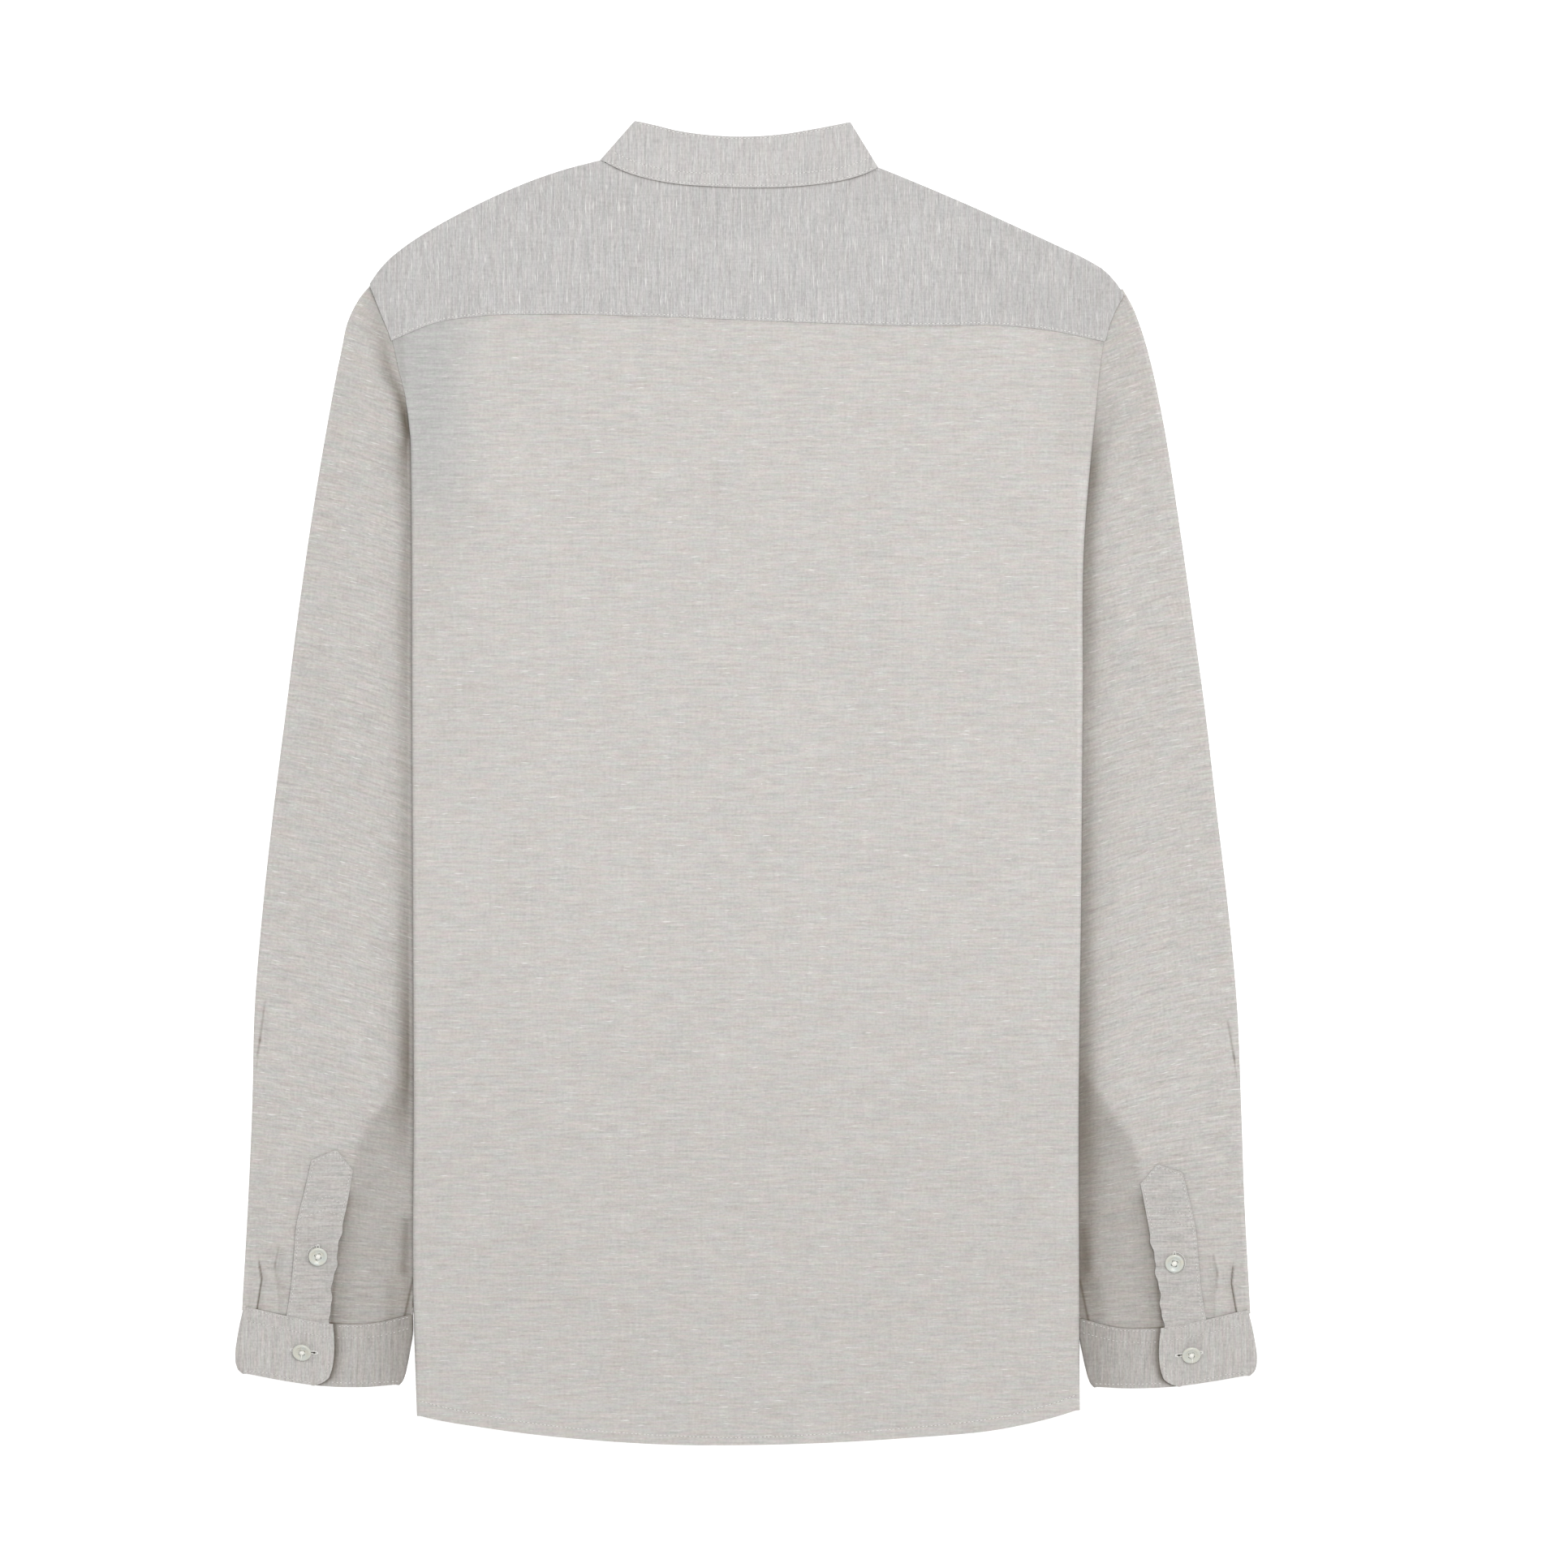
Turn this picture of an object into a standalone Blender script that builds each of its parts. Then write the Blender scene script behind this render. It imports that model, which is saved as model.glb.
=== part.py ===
"""A long-sleeved shirt with a mandarin collar, laid face down on a flat surface with its back up.

The body's sides are tucked under along straight folds and the sleeves hang down beside it, so from
above the back, the yoke, the collar's back half and the outer half of each sleeve show. The fronts, with
their placket and buttons, lie beneath and rest on the surface. +Y runs from hem to collar, +Z is up, and
the origin is at the middle of the underside.

Every cloth piece is one wall round a middle surface. A function gives that surface from the sizes below,
its grid is made in patches, and the wall is half of its thickness to each side. Plies are stacked by
level: each ply lies one PLY above the one beneath it. Sizes are in millimetres, and MM makes them metres.
"""

import math

import bmesh
import bpy
import numpy as np

MM = 0.001

# Cloth
CLOTH = 1.0  # wall of a single ply with its seams
BAND = 1.2  # wall of the collar and the cuffs, two plies with interlining
GAP = 0.3  # between pieces at a seam, and between plies that lie on each other
CURVED_GAP = 0.5  # between pieces at a seam whose edges curve, where their points don't face each other
PLY = CLOTH + GAP
REST = CLOTH / 2  # level of a ply's middle where it lies on the surface
BAND_REST = BAND / 2

# Body
TUCK = 67.0  # width of body folded under at each side, from the fold to the side seam
SEAM_FOOT = 65.0  # y of the underarm point, where the side seam starts
BACK_FOLD_TOP = 232.0  # y where the back's side fold runs out into the armhole seam
FRONT_FOLD_TOP = 205.0
FRONT_HEM_RISE = 12.0  # the front's hem is this much higher than the back's
YOKE_FLAP = 38.0  # from the shoulder fold to the forward shoulder seam
NECK_POINT = {"left": 71.0, "right": 66.5}  # x at which the forward shoulder seam meets the neck
FALL = 45.0  # width over which an upper ply sinks beside what lies under it
CLEAR = 14.0  # an upper ply stays level this far past the edge of what lies under it
SHOULDER_LEVEL = 4.6  # level of the yoke's and the collar's upper ply where they fold
SHOULDER_FALL = 40.0  # from the shoulder fold to where the yoke lies as the back does
NECK_FALL = 28.0  # from the yoke's neck edge to where its shoulder is fully raised
HEM_CORNER = 200.0  # first guesses of the x of a panel's lower and upper corners
TIP_CORNER = 215.0

# Placket and buttons
PLACKET_WIDTH = 32.0
PLACKET_CLEAR = 48.0  # x at which the fronts lie on the surface again, beside the placket
PLACKET_FALL = 30.0
BUTTON_WIDTH = 11.4
BUTTON_HEIGHT = 2.0
BUTTON_SIDES = 16
BUTTON_CLEAR = 0.1  # more room beneath a gauntlet's button, where the cloth slopes
FRONT_BUTTONS = 6
FRONT_BUTTON_TOP = 252.0
FRONT_BUTTON_STEP = 92.0

# Sleeve
UNDERARM = (118.0, 90.0)  # x and y of the flat sleeve's inner top corner, under the body
SLEEVE_LAY = 0.65  # radius of the turn along the sleeve's inner edge, pressed flat
MOUTH_UNDER = 214.0  # y below which the sleeve's mouth runs under the body
SLEEVE_BULGE = 30.0  # the upper ply rises over this width beside the body
SLEEVE_RISE_START = 2.0  # it stays pressed until this far outside the body's edge
ROLL_SHARE = 0.03  # share of the sleeve's width over which the upper ply meets its two turns

# Cuff
CUFF_LAP_START = 0.36  # share of the cuff's width at which the under end stops, beneath the lap
CUFF_LAP_END = 0.525  # and at which the lap's free edge is
CUFF_CORNER = 10.0  # radius of the lap's lower corner
CUFF_WIDTH = 100.0  # rough sizes of a pressed cuff, which turn the corner's radius into shares
CUFF_DEPTH = 40.0


def table(columns, *rows):
    """A short table as one array for each named column."""
    return dict(zip(columns.split(), np.array(rows, float).T))


# Side edges of the body: the tuck's fold up to BACK_FOLD_TOP, and above it the armhole seam.
BODY_SIDE = table(
    "y left right",
    (-400, -198.0, 201.6),
    (-300, -200.8, 200.8),
    (-203, -200.4, 200.4),
    (-66, -200.9, 201.9),
    (52, -201.4, 202.9),
    (149, -201.6, 203.9),
    (189, -202.0, 207.2),
    (210, -202.6, 209.6),
    (232, -205.6, 212.0),
    (252, -210.4, 214.2),
    (267, -213.8, 216.6),
    (284, -220.6, 222.4),
    (300, -226.8, 229.0),
)

# Outer edge of each sleeve, from the cuff to the shoulder.
SLEEVE_SIDE = table(
    "y left right",
    (-316, -304.0, 304.3),
    (-252, -300.4, 300.9),
    (-194, -297.9, 298.9),
    (-135, -296.4, 296.5),
    (-76, -291.6, 291.1),
    (-17, -285.2, 284.2),
    (42, -277.8, 277.4),
    (100, -270.5, 269.5),
    (159, -262.1, 261.2),
    (218, -252.3, 251.9),
    (247, -247.0, 246.0),
    (264, -243.5, 241.7),
    (276, -241.1, 237.9),
    (288, -236.0, 233.2),
    (296, -230.8, 228.8),
    (300, -227.2, 226.4),
)

# Shoulder fold of the yoke, from the neck outwards.
SHOULDER = table(
    "out left right",
    (72, 379.8, 374.6),
    (88, 375.9, 368.4),
    (111, 369.9, 358.9),
    (140, 359.3, 346.4),
    (167, 346.7, 334.1),
    (189, 334.7, 323.9),
    (207, 322.9, 315.2),
    (217, 314.4, 308.8),
    (224, 305.8, 301.0),
    (229, 297.8, 293.4),
)

HEM = table(
    "x y",
    (-205, -379.0),
    (-198, -381.2),
    (-156, -389.1),
    (-98, -395.9),
    (-40, -399.3),
    (0, -399.4),
    (40, -398.4),
    (98, -395.0),
    (157, -389.1),
    (187, -382.2),
    (205, -376.4),
)

YOKE_SEAM = table(
    "x y",
    (-214, 266.9),
    (-206, 270.5),
    (-191, 276.7),
    (-162, 281.6),
    (-120, 282.9),
    (-58, 281.6),
    (40, 277.8),
    (118, 275.9),
    (145, 276.4),
    (184, 273.1),
    (216, 266.6),
)

# The collar band's back half: its lower edge is the neck seam.
NECK_SEAM = table(
    "x y",
    (-88.0, 376.2),
    (-74.5, 369.5),
    (-61.3, 365.2),
    (-44.3, 361.8),
    (-22.1, 360.0),
    (4.3, 359.2),
    (24.0, 359.6),
    (43.6, 361.3),
    (60.7, 364.2),
    (73.8, 368.4),
    (80.0, 371.6),
)
COLLAR_EDGE = table(
    "x y",
    (-67.3, 399.7),
    (-54.9, 397.0),
    (-41.6, 393.7),
    (-26.0, 391.4),
    (0.0, 390.1),
    (24.0, 391.8),
    (43.6, 395.1),
    (63.3, 398.9),
)

# Its front half, under the yoke: from the side fold to the middle of the front.
FRONT_NECK = table(
    "share left left_y right right_y",
    (0.0, 86.0, 374.5, 78.5, 370.0),
    (0.25, 78.0, 356.0, 71.5, 352.0),
    (0.5, 61.0, 330.5, 58.0, 328.5),
    (0.75, 36.0, 308.0, 36.0, 308.0),
    (1.0, 0.0, 297.0, 0.0, 297.0),
    (1.1, -14.0, 299.7, -14.0, 299.7),
)
FRONT_COLLAR_EDGE = table(
    "share out y",
    (0.0, 65.0, 397.0),
    (0.25, 54.0, 374.0),
    (0.5, 39.0, 352.0),
    (0.75, 22.0, 334.0),
    (1.0, 0.0, 327.5),
    (1.1, -14.0, 329.0),
)
# Columns of points that neighbours share, so that their seams run parallel.
BACK_NECK_COLUMNS = [-67.0, -47.0, -27.0, -7.0, 13.0, 33.0, 51.0, 67.0]  # x on the back's neck seam
FRONT_NECK_COLUMNS = [0.0, 8.0, 22.0, 36.0, 48.0, 58.0]  # distance from x = 0 on the fronts'
SHOULDER_COLUMNS = [0.0, 0.2, 0.4, 0.6, 0.78, 0.92, 1.0]  # share of the shoulder, from the neck
LAP_COLUMNS = [0.0, 0.095, 0.19, 0.254, 0.33, 0.42]  # share of the cuff, as far as its lap's end
LOWER_COLUMNS = [0.0, 0.25, 0.36, 0.45, 0.72, 1.0]  # share of the cuff's and the sleeve's lower ply

# Levels of the plies' middles at the body's side, from hem to shoulder.
BACK_LEVELS = table(
    "y top low",
    (-400, 4.9, 0.5),
    (-340, 4.9, 0.5),
    (-275, 7.6, 3.1),
    (190, 7.6, 3.1),
    (205, 6.3, 3.1),
    (210, 5.9, 3.1),
    (222, 4.7, 3.1),
    (232, 3.1, 3.1),
    (400, 3.1, 3.1),
)
FRONT_LEVELS = table(
    "y top low",
    (-400, 3.1, 1.8),
    (-340, 3.1, 1.8),
    (-275, 5.7, 4.4),
    (190, 5.7, 4.4),
    (205, 4.6, 4.6),
    (210, 4.5, 4.5),
    (222, 3.1, 3.1),
    (240, 0.5, 0.5),
    (400, 0.5, 0.5),
)
# How far inside the back's edge the front's lies: beside its fold, then clear of the back's tuck.
FRONT_INSET = table(
    "y inset",
    (205, 1.9),
    (210, 11.3),
    (215, 9.1),
    (222, 6.0),
    (227, 3.7),
    (232, 1.3),
    (240, 0.8),
)
# Levels along the middle of the body, over the placket and its buttons.
MIDDLE_LEVELS = table(
    "y placket front back",
    (-400, 0.5, 1.8, 3.4),
    (-352, 0.5, 1.8, 3.4),
    (-310, 2.8, 4.1, 5.5),
    (250, 2.8, 4.1, 5.5),
    (285, 2.8, 4.1, 5.9),
    (400, 2.8, 4.1, 5.9),
)
# Radius of the roll along a sleeve's outer edge.
ROLL = table("y radius", (-320, 1.4), (-268, 2.0), (250, 2.0), (300, 0.65))
# The sleeve's mouth, from the shoulder in to the underarm.
SLEEVE_TOP = {"left": 298.0, "right": 295.5}
MOUTH = table("share y", (0.0, 298.0), (0.3, 262.0), (0.45, 214.0), (1.0, 90.0))
# How far in from the side the sleeve or the tuck reaches under the body.
REACH = table(
    "y x",
    (-400, 133.0),
    (20, 133.0),
    (90, 118.0),
    (150, 163.0),
    (190, 190.0),
    (214, 203.0),
    (240, 215.0),
    (400, 225.0),
)

# Each cuff, from its outer to its inner side; the two differ a little as they lie.
CUFF_TOP = table(
    "share left_x left_y right_x right_y",
    (0.0, -303.8, -316.0, 303.8, -318.0),
    (0.25, -277.3, -321.6, 277.8, -323.9),
    (0.53, -249.4, -326.2, 250.6, -328.7),
    (0.8, -222.0, -325.6, 222.0, -328.4),
    (1.0, -201.6, -320.9, 201.6, -323.4),
)
CUFF_FOOT = table(
    "share left_x left_y right_x right_y",
    (0.0, -304.6, -356.0, 305.0, -357.2),
    (0.25, -281.5, -360.2, 282.0, -361.0),
    (0.53, -254.0, -363.8, 254.5, -364.4),
    (0.8, -227.4, -364.4, 227.0, -365.2),
    (1.0, -208.0, -363.0, 209.0, -364.4),
)
CUFF_SIDE_BOW = 3.6  # the outer side bows outwards by this much
CUFF_LEVELS = {"low": BAND_REST, "under": 3.9, "lap": 5.4}

# Raised folds of the sleeves' upper ply; side is -1 for the left sleeve and 1 for the right.
SLEEVE_FOLDS = table(
    "side x0 y0 x1 y1 width height",
    (-1, 202, -168, 226, -214, 18, 1.8),
    (-1, 216, 228, 211, 150, 14, 1.1),
    (-1, 236, -20, 262, -78, 20, 1.0),
    (1, 204, -184, 226, -220, 18, 1.8),
    (1, 225, 230, 217, 150, 14, 1.1),
    (1, 238, 8, 264, -60, 20, 1.0),
)
# Knife pleats at the cuff, by their share of the sleeve's width there. The steep side faces the body.
PLEATS = table("share height length", (0.095, 1.2, 42.0), (0.24, 1.0, 34.0))
PLEAT_RISE = 0.05  # share of the width over which a pleat rises
PLEAT_DROP = 0.014  # and over which it drops

GAUNTLET = table(
    "share left_in left_out right_in right_out",
    (0.0, 250.9, 277.2, 252.0, 277.8),
    (0.2, 250.0, 274.4, 250.0, 274.9),
    (0.4, 247.0, 272.6, 247.4, 273.2),
    (0.6, 244.2, 271.0, 244.6, 271.6),
    (0.8, 240.2, 266.4, 241.4, 268.0),
    (1.0, 237.0, 262.0, 238.0, 263.4),
)
# Upper end of the gauntlet across its width: inner corner, point, outer corner.
GAUNTLET_HEAD = table(
    "share left right",
    (0.0, -233.5, -241.6),
    (0.4, -221.0, -229.8),
    (1.0, -227.4, -234.9),
)

GAUNTLET_CLEAR = 0.15  # more room beneath it, where the sleeve curves

CUFF_BUTTONS = {"left": (-267.6, -342.8), "right": (268.5, -344.4)}
GAUNTLET_BUTTONS = {"left": (-258.1, -285.3), "right": (258.5, -289.4)}
COLLAR_BUTTON = (0.0, 311.5)

CLOTH_COLOURS = {"body": (0.56, 0.54, 0.51), "yoke": (0.54, 0.54, 0.53), "band": (0.52, 0.50, 0.48)}
CLOTH_ROUGHNESS = 0.85
BUTTON_COLOUR = (0.66, 0.65, 0.60)
BUTTON_ROUGHNESS = 0.3
SIDES = {"left": -1, "right": 1}


# Curves and levels -----------------------------------------------------------------------------------


def curve(knots, values, at):
    """A smooth curve through a table's rows, with straight ends beyond them."""
    slope = np.gradient(values, knots)
    row = np.clip(np.searchsorted(knots, at) - 1, 0, len(knots) - 2)
    span = knots[row + 1] - knots[row]
    t = (np.clip(at, knots[0], knots[-1]) - knots[row]) / span
    near = (1 + 2 * t) * (1 - t) ** 2 * values[row] + t * (1 - t) ** 2 * span * slope[row]
    far = t * t * (3 - 2 * t) * values[row + 1] - t * t * (1 - t) * span * slope[row + 1]
    beyond = (at - np.clip(at, knots[0], knots[-1])) * np.where(at < knots[0], slope[0], slope[-1])
    return near + far + beyond


def step(t):
    """0 to 1, level at both ends."""
    t = np.clip(t, 0.0, 1.0)
    return t * t * (3 - 2 * t)


def mix(a, b, t):
    return a + (b - a) * t


def body_side(side, y):
    """Distance of the body's side edge from x = 0."""
    return curve(BODY_SIDE["y"], np.abs(BODY_SIDE[side]), y)


def hem(x):
    return curve(HEM["x"], HEM["y"], x)


def shoulder(side, x):
    return curve(SHOULDER["out"], SHOULDER[side], np.abs(x))


def front_neck(side, out):
    """y of the front's neck seam."""
    return curve(FRONT_NECK[side][::-1], FRONT_NECK[side + "_y"][::-1], out)


def front_foot(x):
    """The fronts' hem."""
    return hem(x) + FRONT_HEM_RISE


def front_head(side, x):
    """The fronts' upper edge: the neck, then the forward shoulder seam."""
    out = np.abs(x)
    seam = shoulder(side, out) - YOKE_FLAP
    return np.where(out < NECK_POINT[side], front_neck(side, out), seam) - GAP


def cuff_top(side, out):
    """y of the cuff's upper edge."""
    return curve(np.abs(CUFF_TOP[side + "_x"])[::-1], CUFF_TOP[side + "_y"][::-1], out)


def level(levels, column, y):
    return np.interp(y, levels["y"], levels[column])


def pressed(x, y):
    """1 where a body ply lies over the tuck or a sleeve, falling to 0 towards the middle."""
    reach = np.interp(y, REACH["y"], REACH["x"])
    return step((np.abs(x) - (reach - CLEAR - FALL)) / FALL)


def back_top(x, y):
    """Level of the back's upper ply, and of the yoke away from the shoulder."""
    return mix(level(MIDDLE_LEVELS, "back", y), level(BACK_LEVELS, "top", y), pressed(x, y))


def front_top(x, y):
    """Level of the fronts: over the placket, on the surface, then over the tuck."""
    over_placket = step((PLACKET_CLEAR - np.abs(x)) / PLACKET_FALL)
    inner = mix(REST, level(MIDDLE_LEVELS, "front", y), over_placket)
    return mix(inner, level(FRONT_LEVELS, "top", y), pressed(x, y))


def fold_away(start, radius, top, low, past):
    """x and z of a ply that turns under from start, at a distance past it."""
    angle = np.clip(past / np.maximum(radius, 1e-6), 0.0, math.pi)
    under = np.maximum(past - math.pi * radius, 0.0)
    return start + radius * np.sin(angle) - under, (top + low) / 2 + radius * np.cos(angle)


# Pieces ----------------------------------------------------------------------------------------------


def patch(place, us, vs, flip=False):
    """Points and normals of a surface's grid. place gives x, y and z for arrays of u and v.

    Patches that join have their normals on the same side; flip turns them where u runs backwards.
    """
    u, v = np.meshgrid(np.array(us, float), np.array(vs, float))
    reach = 1e-4
    points = np.stack(np.broadcast_arrays(*place(u, v)), axis=-1)
    along_u = np.stack(np.broadcast_arrays(*place(u + reach, v)), -1) - np.stack(
        np.broadcast_arrays(*place(u - reach, v)), -1
    )
    along_v = np.stack(np.broadcast_arrays(*place(u, v + reach)), -1) - np.stack(
        np.broadcast_arrays(*place(u, v - reach)), -1
    )
    normals = np.cross(along_u, along_v) * (-1 if flip else 1)
    length = np.linalg.norm(normals, axis=-1, keepdims=True)
    upright = np.broadcast_to([0.0, 0.0, 1.0], normals.shape)
    return points, np.where(length > 1e-12, normals / np.maximum(length, 1e-12), upright)


def finish(name, bm, colour, roughness):
    """The piece's object, with its own material."""
    bmesh.ops.recalc_face_normals(bm, faces=bm.faces)
    if bm.calc_volume(signed=True) < 0:
        bmesh.ops.reverse_faces(bm, faces=bm.faces)
    mesh = bpy.data.meshes.new(name)
    bm.to_mesh(mesh)
    bm.free()
    mesh.shade_smooth()
    mesh.set_sharp_from_angle(angle=math.radians(40))
    material = bpy.data.materials.new(name)
    material.use_nodes = True
    shader = material.node_tree.nodes["Principled BSDF"]
    shader.inputs["Base Color"].default_value = (*colour, 1.0)
    shader.inputs["Roughness"].default_value = roughness
    shader.inputs["Metallic"].default_value = 0.0
    mesh.materials.append(material)
    piece = bpy.data.objects.new(name, mesh)
    bpy.context.scene.collection.objects.link(piece)
    return piece


def cloth(name, patches, wall, colour):
    """A closed wall round the patches' joined grids."""
    bm = bmesh.new()
    normal_of = bm.verts.layers.float_vector.new("normal")
    for points, normals in patches:
        rows, columns = points.shape[:2]
        grid = bmesh.ops.create_grid(bm, x_segments=columns - 1, y_segments=rows - 1, size=1.0)
        for vert, point, normal in zip(grid["verts"], points.reshape(-1, 3), normals.reshape(-1, 3)):
            vert.co = point * MM
            vert[normal_of] = normal
    bmesh.ops.remove_doubles(bm, verts=bm.verts, dist=1e-7)
    outer = list(bm.verts)
    made = bmesh.ops.extrude_face_region(bm, geom=bm.faces[:], use_keep_orig=True)["geom"]
    inner = [element for element in made if isinstance(element, bmesh.types.BMVert)]
    for verts, way in ((outer, 0.5), (inner, -0.5)):
        for vert in verts:
            vert.co = vert.co + vert[normal_of] * (way * wall * MM)
    return finish(name, bm, colour, CLOTH_ROUGHNESS)


def spread(*stops):
    """Values from the first stop on, each further stop with the number of steps that lead to it."""
    values = [stops[0]]
    for stop, count in stops[1:]:
        values += list(np.linspace(values[-1], stop, count + 1)[1:])
    return values


def half_panel(side, piece, inner, columns, turn):
    """One half of a body panel, from x = inner out to the side's fold, and the tuck under it.

    piece holds the panel's own sizes: its foot and head, its rows, its levels and their function, the
    distance of its edge from x = 0, the y where its fold runs out, the width of its tuck, and how much
    the tuck's hem rises towards the side seam.
    """
    way = SIDES[side]
    foot, head, rows, levels = piece["foot"], piece["head"], piece["rows"], piece["levels"]
    fold_top = piece["fold_top"]
    shares = [(y - rows[0]) / (rows[-1] - rows[0]) for y in rows]
    fold_share = shares[rows.index(fold_top)]
    ends = [foot(way * HEM_CORNER), head(way * TIP_CORNER)]

    def edge_of(v):
        """y, start of the turn, its radius and its two levels, at the side edge."""
        y = np.interp(v, (0.0, fold_share, 1.0), (ends[0], fold_top, ends[1]))
        top, low = level(levels, "top", y), level(levels, "low", y)
        radius = (top - low) / 2
        return y, piece["edge"](side, y) - CLOTH / 2 - radius, radius, top, low

    for _ in range(4):
        ends = [foot(way * edge_of(0.0)[1]), head(way * edge_of(1.0)[1])]

    def above(u, v):
        edge_y, start = edge_of(v)[:2]
        x = mix(inner, way * start, u)
        at_edge = mix(foot(way * start), head(way * start), v)
        y = mix(foot(x), head(x), v) + (edge_y - at_edge) * u
        return x, y, piece["level"](x, y)

    def under(u, v):
        """u from 0 round the turn to 1, then in to the side seam at 2."""
        edge_y, start, radius, top, low = edge_of(v)
        width = piece["tuck"] * np.clip((fold_top - edge_y) / (fold_top - SEAM_FOOT), 0.0, 1.0)
        past = math.pi * radius * np.minimum(u, 1.0) + width * np.maximum(u - 1, 0.0)
        x, z = fold_away(start, radius, top, low, past)
        inward = np.clip(u - 1, 0.0, 1.0)
        rise = piece["hem_rise"] * inward**2 * np.clip(1 - v / fold_share, 0.0, 1.0)
        return way * x, edge_y + rise, z

    head_start = edge_of(1.0)[1]
    us = [(way * out - inner) / (way * head_start - inner) for out in columns] + [1.0]
    under_shares = [v for v in shares if v <= fold_share]
    backwards = way < 0
    return [patch(above, us, shares, backwards), patch(under, turn, under_shares, backwards)]


def back():
    """The back below the yoke: one ply above, turned under at both sides to the side seams."""

    def seam(x):
        return curve(YOKE_SEAM["x"], YOKE_SEAM["y"], x) - CURVED_GAP

    rows = spread(-380.0, (-340, 2), (-275, 3), (190, 9), (205, 1), (210, 1), (222, 1))
    piece = {
        "foot": hem,
        "head": seam,
        "rows": rows + spread(BACK_FOLD_TOP, (266, 2)),
        "levels": BACK_LEVELS,
        "level": back_top,
        "edge": body_side,
        "fold_top": BACK_FOLD_TOP,
        "tuck": TUCK,
        "hem_rise": 24.0,
    }
    columns = [0.0, 36.0, 72.0, 102.0, 129.0, 154.0, 179.0, 197.0, 209.0]
    patches = []
    for side in SIDES:
        patches += half_panel(side, piece, 0.0, columns, spread(0.0, (1.0, 4), (2.0, 3)))
    return cloth("back", patches, CLOTH, CLOTH_COLOURS["body"])


FRONT_ROWS = spread(-368.0, (-340, 1), (-275, 2), (190, 9), (FRONT_FOLD_TOP, 1))
FRONT_ROWS += [210.0, 222.0, 232.0, 240.0, 276.0]


def front(side):
    """A front: from the placket out to its fold inside the back's, and in again to the side seam."""
    way = SIDES[side]
    inner = {"left": -9.0, "right": -7.0}[side]

    def edge(side, y):
        return body_side(side, y) - np.interp(y, FRONT_INSET["y"], FRONT_INSET["inset"])

    def head(x):
        return front_head(side, x)

    piece = {
        "foot": front_foot,
        "head": head,
        "rows": FRONT_ROWS,
        "levels": FRONT_LEVELS,
        "level": front_top,
        "edge": edge,
        "fold_top": FRONT_FOLD_TOP,
        "tuck": TUCK - FRONT_INSET["inset"][0],
        "hem_rise": 16.0,
    }
    tip = edge(side, head(way * TIP_CORNER)) - CLOTH / 2
    columns = [way * inner] + [out for out in FRONT_NECK_COLUMNS if out > way * inner]
    columns += [mix(NECK_POINT[side], tip, share) for share in SHOULDER_COLUMNS[:-1]]
    patches = half_panel(side, piece, inner, columns, spread(0.0, (1.0, 3), (2.0, 3)))
    return cloth("front_" + side, patches, CLOTH, CLOTH_COLOURS["body"])


def front_placket():
    """The folded band down the middle of the front, on its outside and so the lowest ply there."""

    def place(u, v):
        x = u * PLACKET_WIDTH / 2
        y = mix(front_foot(x), front_head("left", x), v)
        return x, y, level(MIDDLE_LEVELS, "placket", y)

    columns = [-1.0, -0.5, 0.0, 0.5, 1.0]
    rows = [(y - FRONT_ROWS[0]) / (FRONT_ROWS[-1] - FRONT_ROWS[0]) for y in FRONT_ROWS]
    return cloth("front_placket", [patch(place, columns, rows)], CLOTH, CLOTH_COLOURS["body"])


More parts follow.
